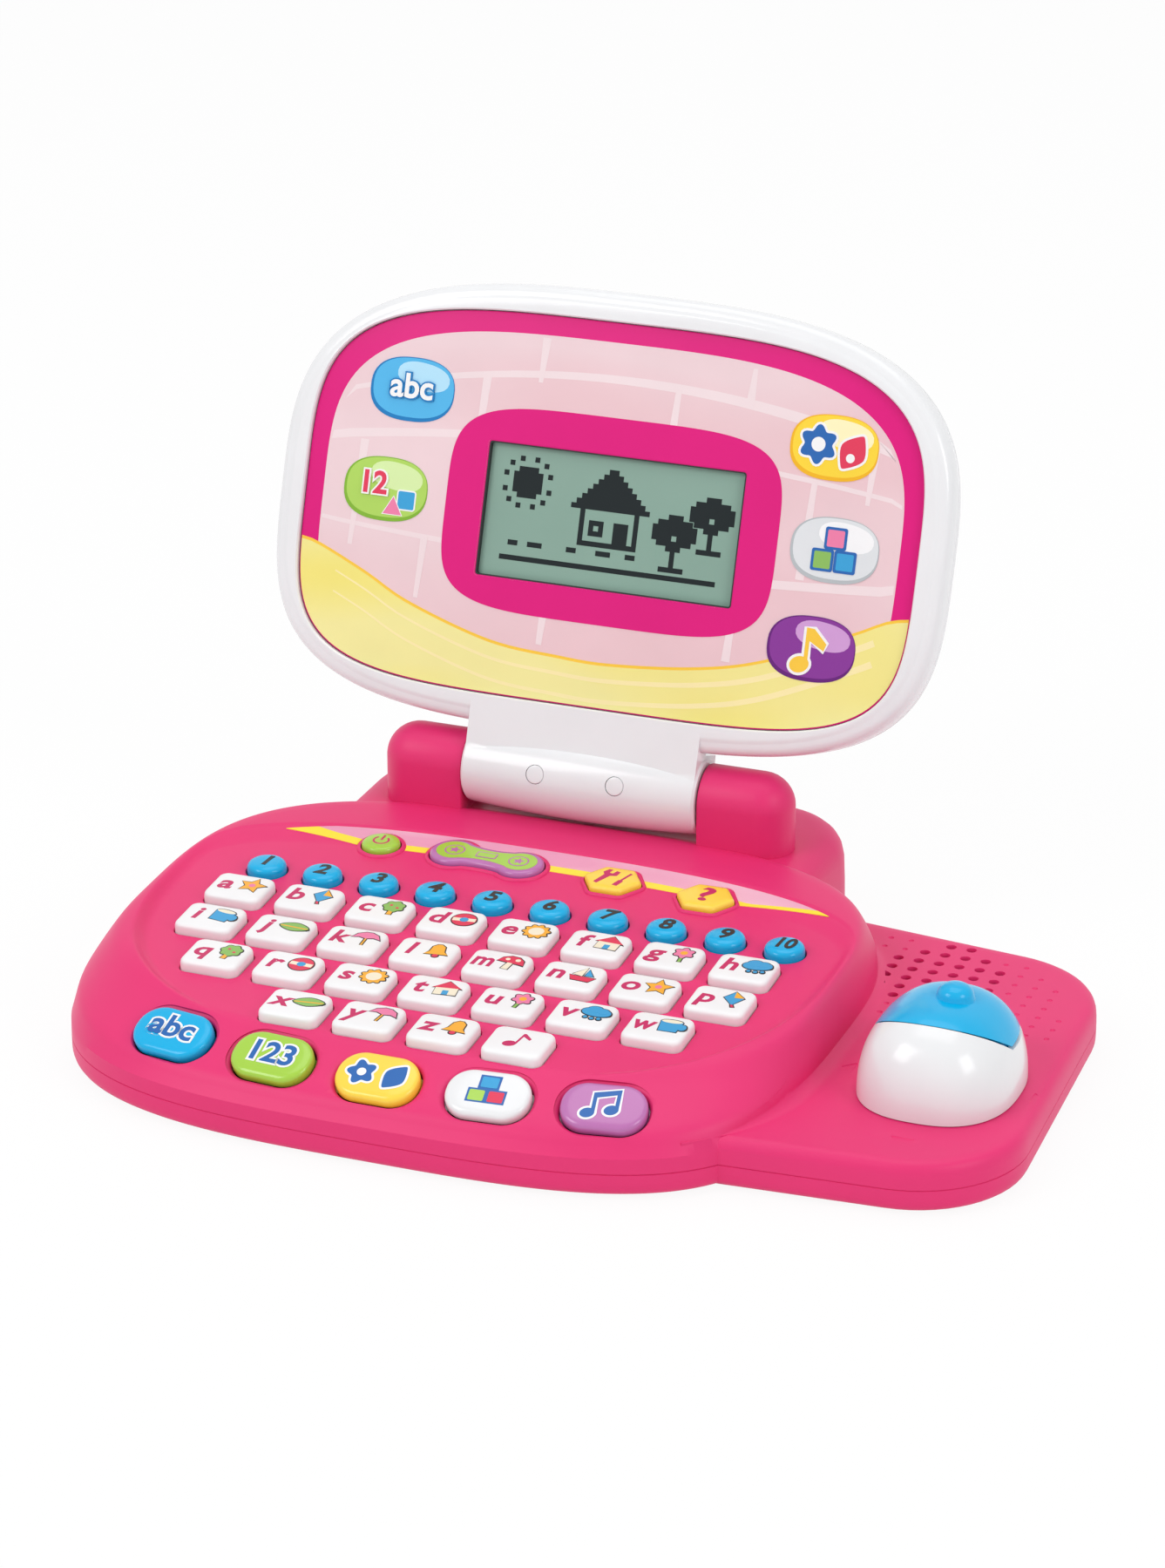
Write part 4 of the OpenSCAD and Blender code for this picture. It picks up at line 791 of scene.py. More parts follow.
def words(name, text, size, at, low, thick, slant=0.0, bold=0.0, squeeze=1.0):
    """Lettering as a thin raised print, its lower side sunk in the surface."""
    bpy.ops.object.select_all(action="DESELECT")
    bpy.ops.object.text_add(location=(0, 0, 0))
    piece = bpy.context.active_object
    piece.data.body, piece.data.size, piece.data.shear = text, size, slant
    piece.data.offset, piece.data.extrude = bold, thick / 2
    piece.data.align_x = piece.data.align_y = "CENTER"
    piece.data.resolution_u = 4
    bpy.ops.object.convert(target="MESH")
    piece = bpy.context.active_object
    piece.data.transform(Matrix.Translation((*at, low + thick / 2)) @ Matrix.Diagonal((squeeze, 1, 1, 1)))
    piece.name = piece.data.name = name
    return piece


def star(at, outer, inner):
    return [polar(inner if k % 2 else outer, radians(90 + 36 * k), at) for k in range(10)]


def blob(at, a, b, n=2.0, count=36, tilt=0.0):
    return spun(oval(a, b, b, n, n, 0, count), tilt, at)


def petals(at, outer, count=6, depth=0.28):
    return [polar(outer * (1 - depth * (0.5 + 0.5 * cos(count * t))), t, at)
            for t in [2 * pi * k / 60 for k in range(60)]]


def plate_of(*spans):
    """Outline given as x, y pairs in one row of numbers."""
    return list(zip(spans[::2], spans[1::2]))


MIDDLE = (0, 0)
# small generic pictures, each a list of outlines with their inks, the first ones lowest
PICTURES = [
    [(star(MIDDLE, 4.3, 2.1), AMBER_INK), (disc(0, 0, 1.0, 20), ROSE)],
    [(disc(0, 0, 3.6, 36), RED), (box(-3.4, -0.9, 3.4, 0.9), CREAM), (disc(0, 0, 1.3, 24), SKY)],
    [(box(-0.4, -4.2, 0.4, 0), LEAF), (petals((0, 1.2), 3.1), ROSE), (disc(0, 1.2, 1.1, 20), AMBER_INK)],
    [(blob((0, 0.2), 4.6, 2.3, 1.5), LEAF), (box(-4.2, -0.2, 4.2, 0.3), AMBER_INK)],
    [(plate_of(-1, -4, 1, -4, 0.8, 0, -0.8, 0), CREAM),
     (plate_of(-4.2, -0.2, -3.2, 2.2, -1.2, 3.6, 1.2, 3.6, 3.2, 2.2, 4.2, -0.2), RED),
     (disc(-1.6, 1.5, 0.7, 16), CREAM), (disc(1.5, 1.9, 0.8, 16), CREAM)],
    [(plate_of(0, 4.3, 2.9, 0.8, 0, -3.4, -2.9, 0.8), SKY), (plate_of(0, 4.3, 2.9, 0.8, 0, 0.8), AMBER_INK),
     (plate_of(-0.3, -3.2, 0.3, -3.2, 0.9, -4.6, 0.1, -4.6), RED)],
    [(petals(MIDDLE, 4.1, 10, 0.22), AMBER_INK), (disc(0, 0, 2.3, 30), CREAM)],
    [(blob((0, 0.6), 4.3, 2.3, 2.2), SKY), (blob((-0.9, 1.9), 2.2, 1.8), SKY),
     (blob((1.5, 1.5), 1.9, 1.5), SKY), (disc(-2, -2.8, 0.6, 14), SKY), (disc(0, -3.1, 0.6, 14), SKY),
     (disc(2, -2.8, 0.6, 14), SKY)],
    [(box(-0.25, -3.8, 0.25, 2), AMBER_INK),
     (plate_of(-4.3, 0.2, -3.1, 2.6, -1, 3.8, 1, 3.8, 3.1, 2.6, 4.3, 0.2, 2.2, 0.9, 0, 0.2, -2.2, 0.9),
      ROSE)],
    [(plate_of(-4, -1.2, 4, -1.2, 2.6, -3.6, -2.6, -3.6), RED),
     (plate_of(-0.2, -1, -0.2, 4, -3.2, -0.4), CREAM), (plate_of(0.5, -0.6, 0.5, 3.2, 3, -0.4), SKY)],
    [(plate_of(-0.7, -4, 0.7, -4, 0.6, -0.6, -0.6, -0.6), AMBER_INK), (petals((0, 1), 3.3, 7, 0.16), LEAF),
     (disc(-1, 1.6, 0.5, 12), RED), (disc(1.2, 0.4, 0.5, 12), RED)],
    [(box(-3.3, -3.6, 3.3, 0.4), CREAM), (plate_of(-4.2, 0.3, 4.2, 0.3, 0, 4), RED),
     (box(-0.9, -3.6, 0.9, -1.2), SKY)],
    [(plate_of(-3, -3.2, 2.2, -3.2, 2.8, 2.4, -3.6, 2.4), SKY), (blob((3.2, -0.3), 1.2, 1.6), SKY),
     (blob((-0.4, 2.4), 3.1, 0.9), CREAM)],
    [(plate_of(-3.6, -2.2, 3.6, -2.2, 2.2, -0.6, 1.8, 2.4, 0.6, 3.6, -0.6, 3.6, -1.8, 2.4, -2.2, -0.6),
      AMBER_INK), (disc(0, -3, 0.9, 18), RED)],
]


def grown(outline, width):
    """Outline pushed outwards along its corners' normals, for the dark line round a picture."""
    following = outline[1:] + outline[:1]
    area = sum(a[0] * b[1] - b[0] * a[1] for a, b in zip(outline, following))
    push = width if area > 0 else -width
    result = []
    for (ax, ay), (x, y), (bx, by) in zip(outline[-1:] + outline[:-1], outline, following):
        size = hypot(bx - ax, by - ay) or 1
        result.append((x + push * (by - ay) / size, y - push * (bx - ax) / size))
    return result


def print_of(name, layers, low, place, step=0.018):
    """Printed layers, each a plate a hair higher than the one before; layers are outline and material."""
    plates, inks = [], []
    for k, (shape, material) in enumerate(layers):
        piece = slab("ink", shape, low - 0.25, low + 0.02 + step * k) if isinstance(shape, list) else shape
        if material not in inks:
            inks.append(material)
        plates.append((piece, inks.index(material)))
    for piece, ink in plates:
        paint(piece, *inks)
        piece.data.polygons.foreach_set("material_index", [ink] * len(piece.data.polygons))
    return settle(join([piece for piece, _ in plates], name), place)


KEY_PRINT_Z, PRINT_SLANT, PRINT_BOLD = 3.6, 0.12, 0.3
LETTER_AT, LETTER_SIZE, NUMERAL_SIZE = (-4.8, 0.3), 10.8, 8.8
PICTURE_AT, PICTURE_SIZE, PICTURE_EDGE = (4.0, 1.3), 1.12, 0.42
for index, (letter, column, row) in enumerate(LETTERS):
    x, y = key_at(column, row)
    place = ON_FLOOR @ Matrix.Translation((x, y, 0))
    cap = settle(copy_of(key_master, "letter_key_" + letter), place)
    mount(paint(cap, KEY_WHITE), "cap_" + letter, "key_white", "key_" + letter)
    if letter == "note":
        stem = plate_of(-0.6, -2.4, 0.2, -2.4, 0.9, 2.6, 3.4, 0.8, 3.8, 1.8, 1.2, 4.4, 0.4, 4.4)
        layers = [(blob((-2.0, -2.6), 2.2, 1.7, 2, 30, 20), CRIMSON), (stem, CRIMSON)]
    else:
        picture = [(spun(shape, -8 + 5 * (index % 4), PICTURE_AT, PICTURE_SIZE), INKS[ink])
                   for shape, ink in PICTURES[index * 5 % len(PICTURES)]]
        squeeze = 0.86 if letter in "mw" else 1.04
        glyph = words("glyph", letter, LETTER_SIZE, LETTER_AT, 3.35, 0.3, PRINT_SLANT, PRINT_BOLD, squeeze)
        layers = [(grown(shape, PICTURE_EDGE), BLACK_INK) for shape, _ in picture]
        layers += picture + [(glyph, CRIMSON)]
    mount(print_of("print_" + letter, layers, KEY_PRINT_Z, place), "cap_" + letter, "printed_sheet")
bpy.data.objects.remove(key_master)

# ---- Number keys ---------------------------------------------------------------------------------
# Two combs of five round glossy blue caps, each comb one moulding joined by a bar under the floor;
# black numerals are pad-printed towards the back of each cap.

BLUE = finish_of("cyan_plastic", (0.0, 0.42, 0.76), 0.2, 1600, 0.03, 0.22, 0.25)
NUMBER_PROFILE = [(0, -3.4), (0, 0.6), (0.06, 1.6), (0.3, 2.35), (0.8, 2.95), (1.6, 3.35), (2.8, 3.55),
                  (4.2, 3.64), (5.4, 3.66)]
BAR_HALF, COMB_BAR = 1.5, (-3.5, -2.3)
for first, comb, node in ((0, "comb_1_5", "number_keys_1_5"), (5, "comb_6_10", "number_keys_6_10")):
    parts, layers = [], []
    for index in range(first, first + 5):
        x, y = number_at(index)
        parts += [stack("cap", lambda inset, at=(x, y): disc(*at, NUMBER_R - inset, 64), NUMBER_PROFILE),
                  slab("flange", disc(x, y, NUMBER_R + 1, 48), *FLANGE),
                  slab("stub", disc(x, y, STUB_R, 32), *STUB)]
        layers.append((words("numeral", str(index + 1), NUMERAL_SIZE, (x, y + 0.1), 3.4, 0.32, PRINT_SLANT,
                             PRINT_BOLD, 1.0 if index < 9 else 0.8), BLACK_INK))
    x, y = number_at(first)
    parts.append(slab("comb_bar", box(x, y - BAR_HALF, x + 4 * NUMBER_PITCH, y + BAR_HALF), *COMB_BAR))
    caps = settle(soften(join(parts, "number_caps_" + comb), 30), ON_FLOOR)
    mount(paint(caps, BLUE), comb, "blue_abs", node)
    mount(print_of("numerals_" + comb, layers, KEY_PRINT_Z, ON_FLOOR), comb, "printed_sheet")

# ---- Function buttons ----------------------------------------------------------------------------
# Power dome, two-player selector and two hexagons, in gloss plastic behind pink collars; their
# symbols are printed. The selector is a purple cap with a green inlay.

LIME = finish_of("lime_plastic", (0.36, 0.62, 0.045), 0.2, 1600, 0.03, 0.5, 0.2)
YELLOW = finish_of("yellow_plastic", (0.96, 0.66, 0.055), 0.22, 1600, 0.03, 0.45, 0.2)
PURPLE = finish_of("purple_plastic", (0.48, 0.15, 0.42), 0.2, 1600, 0.03, 0.5, 0.2)
WHITE = finish_of("white_plastic", (0.80, 0.805, 0.82), 0.18, 1500, 0.02, 0.45, 0.2)
FUNCTION_PROFILE = [(0, -3.4), (0, 0.6), (0.05, 1.3), (0.25, 1.95), (0.65, 2.35), (1.2, 2.52), (2.2, 2.62),
                    (3.4, 2.68)]
for name, node, material, slot in (("power", "power_button", LIME, "lime_abs"),
                                   ("selector", "player_selector", PURPLE, "purple_abs"),
                                   ("tools", "tools_button", YELLOW, "yellow_abs"),
                                   ("help", "help_button", YELLOW, "yellow_abs")):
    at = FUNCTION_AT[name]
    cap = join([stack("cap", lambda inset, name=name: function_outline(name, -inset), FUNCTION_PROFILE),
                slab("flange", function_outline(name, 0.9), *FLANGE),
                slab("stub", disc(*at, STUB_R, 32), *STUB)],
               name + "_cap")
    settle(soften(cap, 30), ON_FLOOR)
    mount(paint(cap, material), name + "_cap", slot, node)
    x, y = at
    if name == "power":
        ring = [polar(r, radians(90 - a), (x, y + 0.3))
                for r, span in ((2.9, range(40, 321, 10)), (2.2, range(320, 39, -10))) for a in span]
        layers = [(ring, CRIMSON), (box(x - 0.4, y + 0.4, x + 0.4, y + 4), CRIMSON)]
    elif name == "selector":
        layers = [(peanut(-2.3), LIME)]
        for at_player in ((x - 11.6, y + 0.6), (x + 11.6, y - 0.6)):
            layers += [(disc(*at_player, 3.5), PURPLE), (disc(*at_player, 3.0), LIME),
                       (star(at_player, 2.2, 1.0), PURPLE)]
        layers += [(moved(round_rect(7.2, 3.6, 0.6), at), PURPLE),
                   (moved(round_rect(6.4, 2.8, 0.4), at), LIME)]
    elif name == "tools":
        wrench = plate_of(-3.9, -3.6, -2.9, -4.2, -1.0, 0.6, 0.6, 1.2, 0.9, 3.6, -0.2, 3.9, -0.7, 2.2, -1.7,
                          2.5, -1.2, 4.3, -2.3, 4.4, -3.3, 2.6, -2.6, 1.1)
        driver = plate_of(1.0, -4.0, 2.3, -4.3, 3.1, -1.3, 2.7, -1.1, 4.0, 3.4, 3.4, 3.7, 2.1, -0.9, 1.8,
                          -0.9)
        layers = [(moved([(1.35 * a, 1.2 * b) for a, b in sign], at), CRIMSON) for sign in (wrench, driver)]
    else:
        layers = [(words("mark", "?", 12.6, (x, y + 0.1), 2.5, 0.28, 0.0, 0.22, 1.45), CRIMSON)]
    mount(print_of(name + "_print", layers, FUNCTION_PROFILE[-1][1], ON_FLOOR), name + "_cap",
          "printed_sheet")

# ---- Mode buttons --------------------------------------------------------------------------------
# Five large oval buttons in soft pockets on the front slope, one colour each, with a white-edged
# blue symbol. Each is a cap with a narrow plug that reaches its switch.

SYMBOL_BLUE = ink_of("symbol_blue", (0.01, 0.12, 0.42), 0.3)
SYMBOL_WHITE = ink_of("symbol_white", (0.88, 0.88, 0.88), 0.3)
MODE_PROFILE = [(0, -1.2), (0, 0.7), (0.06, 1.3), (0.3, 1.85), (0.8, 2.3), (1.6, 2.55), (3, 2.68), (5, 2.75)]
MODE_PRINT_Z, SYMBOL_EDGE = 2.78, 0.75
MODE_PLUG, MODE_PLUG_ENDS = (23, 10.5, 3), (-4, -1.1)
MODE_FLANGE, MODE_FLANGE_ENDS = (29, 10.5, 3), (-4, -2.8)


def leaf(at, length, width, tilt):
    return spun([(length * cos(t), width * sin(t) * (1 - 0.6 * abs(cos(t)) ** 1.5))
                 for t in [2 * pi * k / 40 for k in range(40)]], tilt, at)


def edged(shapes, width, edge, ink):
    """Outlines in one ink, all over their own wider outlines in another."""
    return [(grown(shape, width), edge) for shape in shapes] + [(shape, ink) for shape in shapes]


def outlined(name, text, size, at, low, edge):
    """A word in blue ink on a white edge."""
    return [(words(name + "_edge", text, size, at, low, 0.27, 0, edge, 1.05), SYMBOL_WHITE),
            (words(name, text, size, at, low + 0.02, 0.29, 0, 0.26, 1.05), SYMBOL_BLUE)]


for index, (mode, material, slot) in enumerate((
        ("letters", BLUE, "blue_abs"), ("numbers", LIME, "lime_abs"), ("nature", YELLOW, "yellow_abs"),
        ("games", WHITE, "white_abs"), ("music", PURPLE, "purple_abs"))):
    cap = join([stack("mode_cap", lambda inset: mode_outline(-inset), MODE_PROFILE),
                slab("plug", round_rect(*MODE_PLUG), *MODE_PLUG_ENDS),
                slab("plug_flange", round_rect(*MODE_FLANGE), *MODE_FLANGE_ENDS)], "mode_cap_" + mode)
    place = mode_place(index)
    settle(soften(cap, 30), place)
    body = "mode_" + mode + "_cap"
    mount(paint(cap, material), body, slot, "mode_" + mode)
    if mode == "letters":
        layers = outlined("abc", "abc", 11.4, (0, 0.9), 2.6, 0.95)
    elif mode == "numbers":
        layers = outlined("count", "123", 10.8, (0, 0.2), 2.6, 0.95)
    elif mode == "nature":
        layers = []
        for shape in (petals((-5.0, 0.2), 4.8, 5, 0.32), leaf((6.0, 0.2), 5.2, 3.6, 60)):
            layers += edged([shape], SYMBOL_EDGE, SYMBOL_WHITE, SYMBOL_BLUE)
        layers.append((disc(-5.0, 0.2, 1.5, 24), SYMBOL_WHITE))
    elif mode == "games":
        blocks = plate_of(-6.2, -4.4, 6.2, -4.4, 6.2, 0.9, 3.4, 0.9, 3.4, 6.2, -3.4, 6.2, -3.4, 0.9, -6.2,
                          0.9)
        layers = [(blocks, SYMBOL_BLUE), (moved(round_rect(4.9, 4.1, 0.5), (-3.1, -1.8)), LIME),
                  (moved(round_rect(4.9, 4.1, 0.5), (3.1, -1.8)), INKS[RED]),
                  (moved(round_rect(5.4, 4.0, 0.5), (0, 3.5)), INKS[SKY])]
    else:
        beam = plate_of(-3.5, -3.4, -2.3, -3.4, -2.3, 2.4, 3.7, 3.9, 3.7, -1.6, 4.9, -1.6, 4.9, 6.0, -3.5,
                        4.2)
        heads = [blob(at, 2.3, 1.8, 2, 30, 20) for at in ((-4.5, -3.6), (2.7, -2.0))]
        layers = edged([beam] + heads, SYMBOL_EDGE, SYMBOL_WHITE, SYMBOL_BLUE)
    mount(print_of("mode_print_" + mode, layers, MODE_PRINT_Z, place), body, "printed_sheet")

# ---- Lid -----------------------------------------------------------------------------------------
# Two white gloss shells that close on each other, with a neck and a barrel that turns between the
# ears on steel pins. Plugs hide two screws in the barrel, and four screws hold the back cover.

# the lid's own frame has its origin on the hinge axis, Y up along the lid and Z out of its face
LID_HALF, LID_SHIFT, LID_MID, LID_HALF_H = 118.8, -1.4, 88.5, 74.5
LID_N_LOW, LID_N_HIGH, LEAN = 3.6, 3.0, radians(19.1)
ON_LID = Matrix.Translation((0, HINGE_Y, HINGE_Z)) @ Matrix.Rotation(radians(90) - LEAN, 4, "X")


def lid_outline(inset):
    outline = oval(LID_HALF - inset, LID_HALF_H - inset, LID_HALF_H - inset, LID_N_LOW, LID_N_HIGH, LID_MID)
    return moved(outline, (LID_SHIFT, 0))


BARREL_HALF, BARREL_R, BARREL_FALL, BARREL_END_R, BARREL_GAP = 41.7, 14.8, 1.8, 12.2, 0.3


def barrel(name, grow, count=112):
    """The hinge barrel, thickest in the middle, along X through the lid's own origin."""
    half, end = BARREL_HALF + grow, BARREL_END_R + grow
    line = [(half * k / 14, BARREL_R - BARREL_FALL * (k / 14) ** 2 + grow) for k in range(-14, 15)]
    line[0], line[-1] = (0.8 - half, line[0][1]), (half - 0.8, line[-1][1])
    line = [(-half, end)] + line + [(half, end)]
    return skin(name, [[(x, y, z) for y, z in disc(0, 0, r, count)] for x, r in line])


FRONT_PROFILE = [(0.35, 3.05), (0.05, 3.3), (0, 5), (0.1, 7), (0.45, 8.6), (1.0, 9.75), (1.8, 10.5),
                 (2.8, 10.95), (3.9, 11.15), (4.4, 11.3), (5.0, 11.62), (5.8, 11.78), (8, 11.8)]
NECK_HALF, NECK_TOP = 41, 11.8
NECK_STATIONS = [(0, -8), (8, -8), (13.4, -7.6), (13.6, 3.1), (27.5, 3.1)]     # up the lid, back face
PLUG_X, PLUG_HOLE_R = 14.2, 3.3
lid_front = stack("lid_front_shell", lid_outline, FRONT_PROFILE)
add(lid_front, skin("neck", [[(x, y, z) for x, z in box(-NECK_HALF, low, NECK_HALF, NECK_TOP)]
                             for y, low in NECK_STATIONS]), barrel("barrel", 0))


def lid_oval(half, half_h, n_low, n_left, n_right):
    """A soft rectangle whose two upper corners differ."""
    left, right = (oval(half, half_h, half_h, n_low, n, LID_MID) for n in (n_left, n_right))
    return moved([a if a[0] < 0 else b for a, b in zip(left, right)], (LID_SHIFT, 0))


PLATE_HALF, PLATE_HALF_H = 108.8, 64.2


def plate_outline(grow):
    return lid_oval(PLATE_HALF + grow, PLATE_HALF_H + grow, 4.6, 3.8, 3.45)


SCREEN_W, SCREEN_H, SCREEN_MID = 90.8, 44.8, 86.2


def screen_outline(grow, radius):
    return moved(round_rect(SCREEN_W + 2 * grow, SCREEN_H + 2 * grow, radius), (0, SCREEN_MID))


cut(lid_front, stack("plate_pocket", plate_outline, [(0.25, 8.15), (0.25, 11.2), (0.55, 11.62), (1.0, 12.2)]),
    slab("screen_way", screen_outline(1, 1), 2, 20),
    stack("lid_inside", lid_outline, [(3, 2), (3.4, 6.2)]),
    *[slab("plug_hole", disc(x, 0, PLUG_HOLE_R), 12.2, 18) for x in (-PLUG_X, PLUG_X)])
settle(soften(lid_front, 30), ON_LID)
mount(paint(lid_front, WHITE), "lid", "white_abs", "lid_front")

BACK_PROFILE = [(0.35, 2.95), (0.05, 2.7), (0, 1.2), (0.3, 0.2), (1.0, -1.2), (2.1, -2.5), (3.7, -3.7),
                (6.2, -4.9), (9.5, -5.7), (13.5, -6.3), (18, -6.5)]
lid_back = stack("lid_back_shell", lid_outline, BACK_PROFILE)
LID_BORE = [(3.4, -8), (3.1, -6.3), (3.0, -5.2)]
LID_SCREWS_AT = [(-78, 50), (78, 50), (-78, 126), (78, 126)]
bores = [hole("lid_bore", at, LID_BORE, 32) for at in LID_SCREWS_AT]
cut(lid_back, barrel("barrel_space", BARREL_GAP),
    stack("back_inside", lid_outline, [(2.4, 4), (3.4, -1), (12, -4.2)]), join(bores, "lid_bores"))
settle(soften(lid_back, 30), ON_LID)
mount(paint(lid_back, WHITE), "lid", "white_abs", "lid_back")

PLUG = [(3.15, 12.4), (3.15, 14.2), (2.95, 14.5), (2.5, 14.62)]
plugs = join([hole("plug", (x, 0), PLUG, 40) for x in (-PLUG_X, PLUG_X)], "barrel_plugs")
settle(soften(plugs, 30), ON_LID)
mount(paint(plugs, WHITE), "lid", "white_abs", "screw_plugs")

# ---- Faceplate and screen ------------------------------------------------------------------------
# A printed magenta plate set in the lid: a pale ground with a yellow wave along the bottom, badges in
# the colours of the mode buttons, and a magenta frame round the recessed grey-green display.

MAGENTA = finish_of("magenta_plate", (0.71, 0.012, 0.205), 0.34, 1200, 0.03, 0.16)
GROUND = streaked(ink_of("ground_print", (0.80, 0.555, 0.59), 0.4, 0.16), (0.82, 0.63, 0.66), 14, 0.3)
SEAM = ink_of("seam_print", (0.85, 0.71, 0.73), 0.4, 0.16)
WAVE = streaked(ink_of("wave_print", (0.87, 0.77, 0.20), 0.4, 0.16), (0.87, 0.81, 0.34), 20, 0.4)
AMBER = ink_of("amber_print", (0.92, 0.58, 0.06), 0.4, 0.16)
LEMON = ink_of("lemon_print", (0.93, 0.82, 0.42), 0.4, 0.16)
PLATE_TOP = 10.0
plate = stack("faceplate_print", plate_outline, [(0, 8.2), (0, 9.7), (-0.15, 9.93), (-0.4, 10)])
cut(plate, stack("screen_cut", lambda grow: screen_outline(grow, 0.8 + grow),
                 [(0, 7), (0, 9.6), (0.5, 10.2)]))
settle(soften(plate, 30), ON_LID)
mount(paint(plate, MAGENTA), "lid", "printed_sheet", "faceplate")

WAVE_LINE = [(-112, 69), (-104, 67.7), (-85, 59.7), (-68, 51.5), (-38, 42.6), (-13, 40.4), (6, 40),
             (36.5, 42.9), (60, 48.6), (88.7, 61.1), (100.6, 66.7), (112, 68.5)]
wave_curve = curve_through(WAVE_LINE, 10)


def wave_at(x, drop=0.0):
    for (x0, y0), (x1, y1) in zip(wave_curve, wave_curve[1:]):
        if x0 <= x <= x1:
            return y0 + (y1 - y0) * (x - x0) / (x1 - x0) - drop
    return wave_curve[-1][1] - drop


def below_wave(outline, drop):
    """The part of an outline that lies below the wave."""
    under = [y < wave_at(x, drop) for x, y in outline]
    start = next(k for k in range(len(outline)) if under[k] and not under[k - 1])
    low = [outline[(start + k) % len(outline)] for k in range(sum(under))]
    right, left = low[-1][0], low[0][0]
    top = [right + (left - right) * k / 60 for k in range(61)]
    return low + [(x, wave_at(x, drop)) for x in top]


GROUND_SHAPE, SCREEN_FRAME = (102.4, 57.6, 4.4, 3.1), (59, 34.6, 34.6, 4.5, 4.5, 86.7)


def on_ground(outline, margin=0.6):
    """Keeps an outline inside the pale ground."""
    half, half_h, n_low, n_high = GROUND_SHAPE
    kept = []
    for x, y in outline:
        n = n_low if y < LID_MID else n_high
        f = (abs(x - LID_SHIFT) / (half - margin)) ** n + (abs(y - LID_MID) / (half_h - margin)) ** n
        k = f ** (-1 / n) if f > 1 else 1
        kept.append((LID_SHIFT + (x - LID_SHIFT) * k, LID_MID + (y - LID_MID) * k))
    return kept


def ribbon(line, widths):
    """A band along a line, its width running from one value to another."""
    left, right = [], []
    for k, (x, y) in enumerate(line):
        ax, ay = line[max(k - 1, 0)]
        bx, by = line[min(k + 1, len(line) - 1)]
        size = hypot(bx - ax, by - ay)
        half = (widths[0] + (widths[1] - widths[0]) * k / (len(line) - 1)) / 2
        left.append((x - (by - ay) / size * half, y + (bx - ax) / size * half))
        right.append((x + (by - ay) / size * half, y - (bx - ax) / size * half))
    return right + left[::-1]


face = [(lid_oval(*GROUND_SHAPE[:3], 3.5, 3.2), GROUND)]
# paler seams: bowed lines across the ground, and short ones that join them
for height, bow, widths in ((134, -14, (1.5, 4)), (112, -7, (3, 1.4)), (72, 4, (1.4, 3.2))):
    line = [(x, height + bow * (x / 100) ** 2) for x in range(-104, 105, 8)]
    face.append((on_ground(ribbon(line, widths)), SEAM))
for x, low, high, widths in (
        (-30, 130, 146, (1.5, 3)), (44, 131, 146, (3, 1.5)), (-50, 106, 133, (2, 3)), (18, 112, 134, (3, 2)),
        (88, 103, 124, (1.5, 3)), (-92, 68, 106, (1.6, 3)), (68, 76, 110, (3, 2)), (-20, 43, 72, (2, 4)),
        (46, 46, 73, (3, 2)), (-66, 53, 75, (1.6, 2.6))):
    face.append((on_ground(ribbon([(x + (y - low) * 0.04, y) for y in range(low, high, 3)], widths)), SEAM))
face.append((oval(*SCREEN_FRAME), MAGENTA))
ground_print = print_of("ground_print", face, PLATE_TOP, Matrix.Identity(4), 0.007)
ground_print.data.transform(HOME.inverted())
cut(ground_print, slab("screen_hole", screen_outline(0.55, 1.2), 5, 14))
settle(ground_print, ON_LID)
mount(ground_print, "lid", "printed_sheet")

# the wave and the badges lie over it
whole = plate_outline(-0.45)
face = [(below_wave(whole, 0), AMBER), (below_wave(whole, 1.0), WAVE)]
for drop in (6, 13):
    line = [(x, wave_at(x, drop)) for x in range(-96, 97, 4)]
    face.append((ribbon(line, (0.5, 2.2)), LEMON))
PALE = [ink_of("gloss_" + name + "_print", colour, specular=0.2) for name, colour in (
    ("blue", (0.45, 0.75, 0.93)), ("lime", (0.66, 0.84, 0.40)), ("yellow", (0.95, 0.88, 0.52)),
    ("white", (0.90, 0.91, 0.92)), ("purple", (0.62, 0.34, 0.66)))]
DEEP = family("badge_", {
    "blue": (0.015, 0.20, 0.50), "lime": (0.22, 0.45, 0.04), "yellow": (0.86, 0.46, 0.02),
    "silver": (0.46, 0.50, 0.52), "purple": (0.13, 0.015, 0.19)}, 0.2)
MAIN = family("badge_face_", {
    "blue": (0.09, 0.46, 0.80), "lime": (0.42, 0.66, 0.12), "yellow": (0.93, 0.66, 0.05),
    "silver": (0.72, 0.75, 0.77), "purple": (0.24, 0.04, 0.31)}, 0.2)
BADGES = [(-75.5, 122.5), (-81.1, 88.1), (74.5, 120.4), (78.8, 87.1), (74.9, 54.1)]
for (x, y), deep, main, pale in zip(BADGES, DEEP, MAIN, PALE):
    face += [(blob((x, y), 15.2, 10.8, 2.5, 60), deep), (blob((x + 0.3, y + 0.5), 14.6, 10.0, 2.5, 60), main),
             (blob((x + 3.6, y + 4.6), 9.6, 4.6, 2.3, 40, -8), pale)]
for name, text, size, at, edge, edge_ink, bold, ink in (
        ("abc", "abc", 11.5, (-75.5, 123.2), 0.75, DEEP[0], 0.25, SYMBOL_WHITE),
        ("count", "12", 10.5, (-85.6, 89.6), 0.85, SYMBOL_WHITE, 0.3, INKS[RED])):
    face += [(words("badge_" + name + "_edge", text, size, at, PLATE_TOP, 0.8, 0, edge), edge_ink),
             (words("badge_" + name, text, size, at, PLATE_TOP, 0.84, 0, bold), ink)]
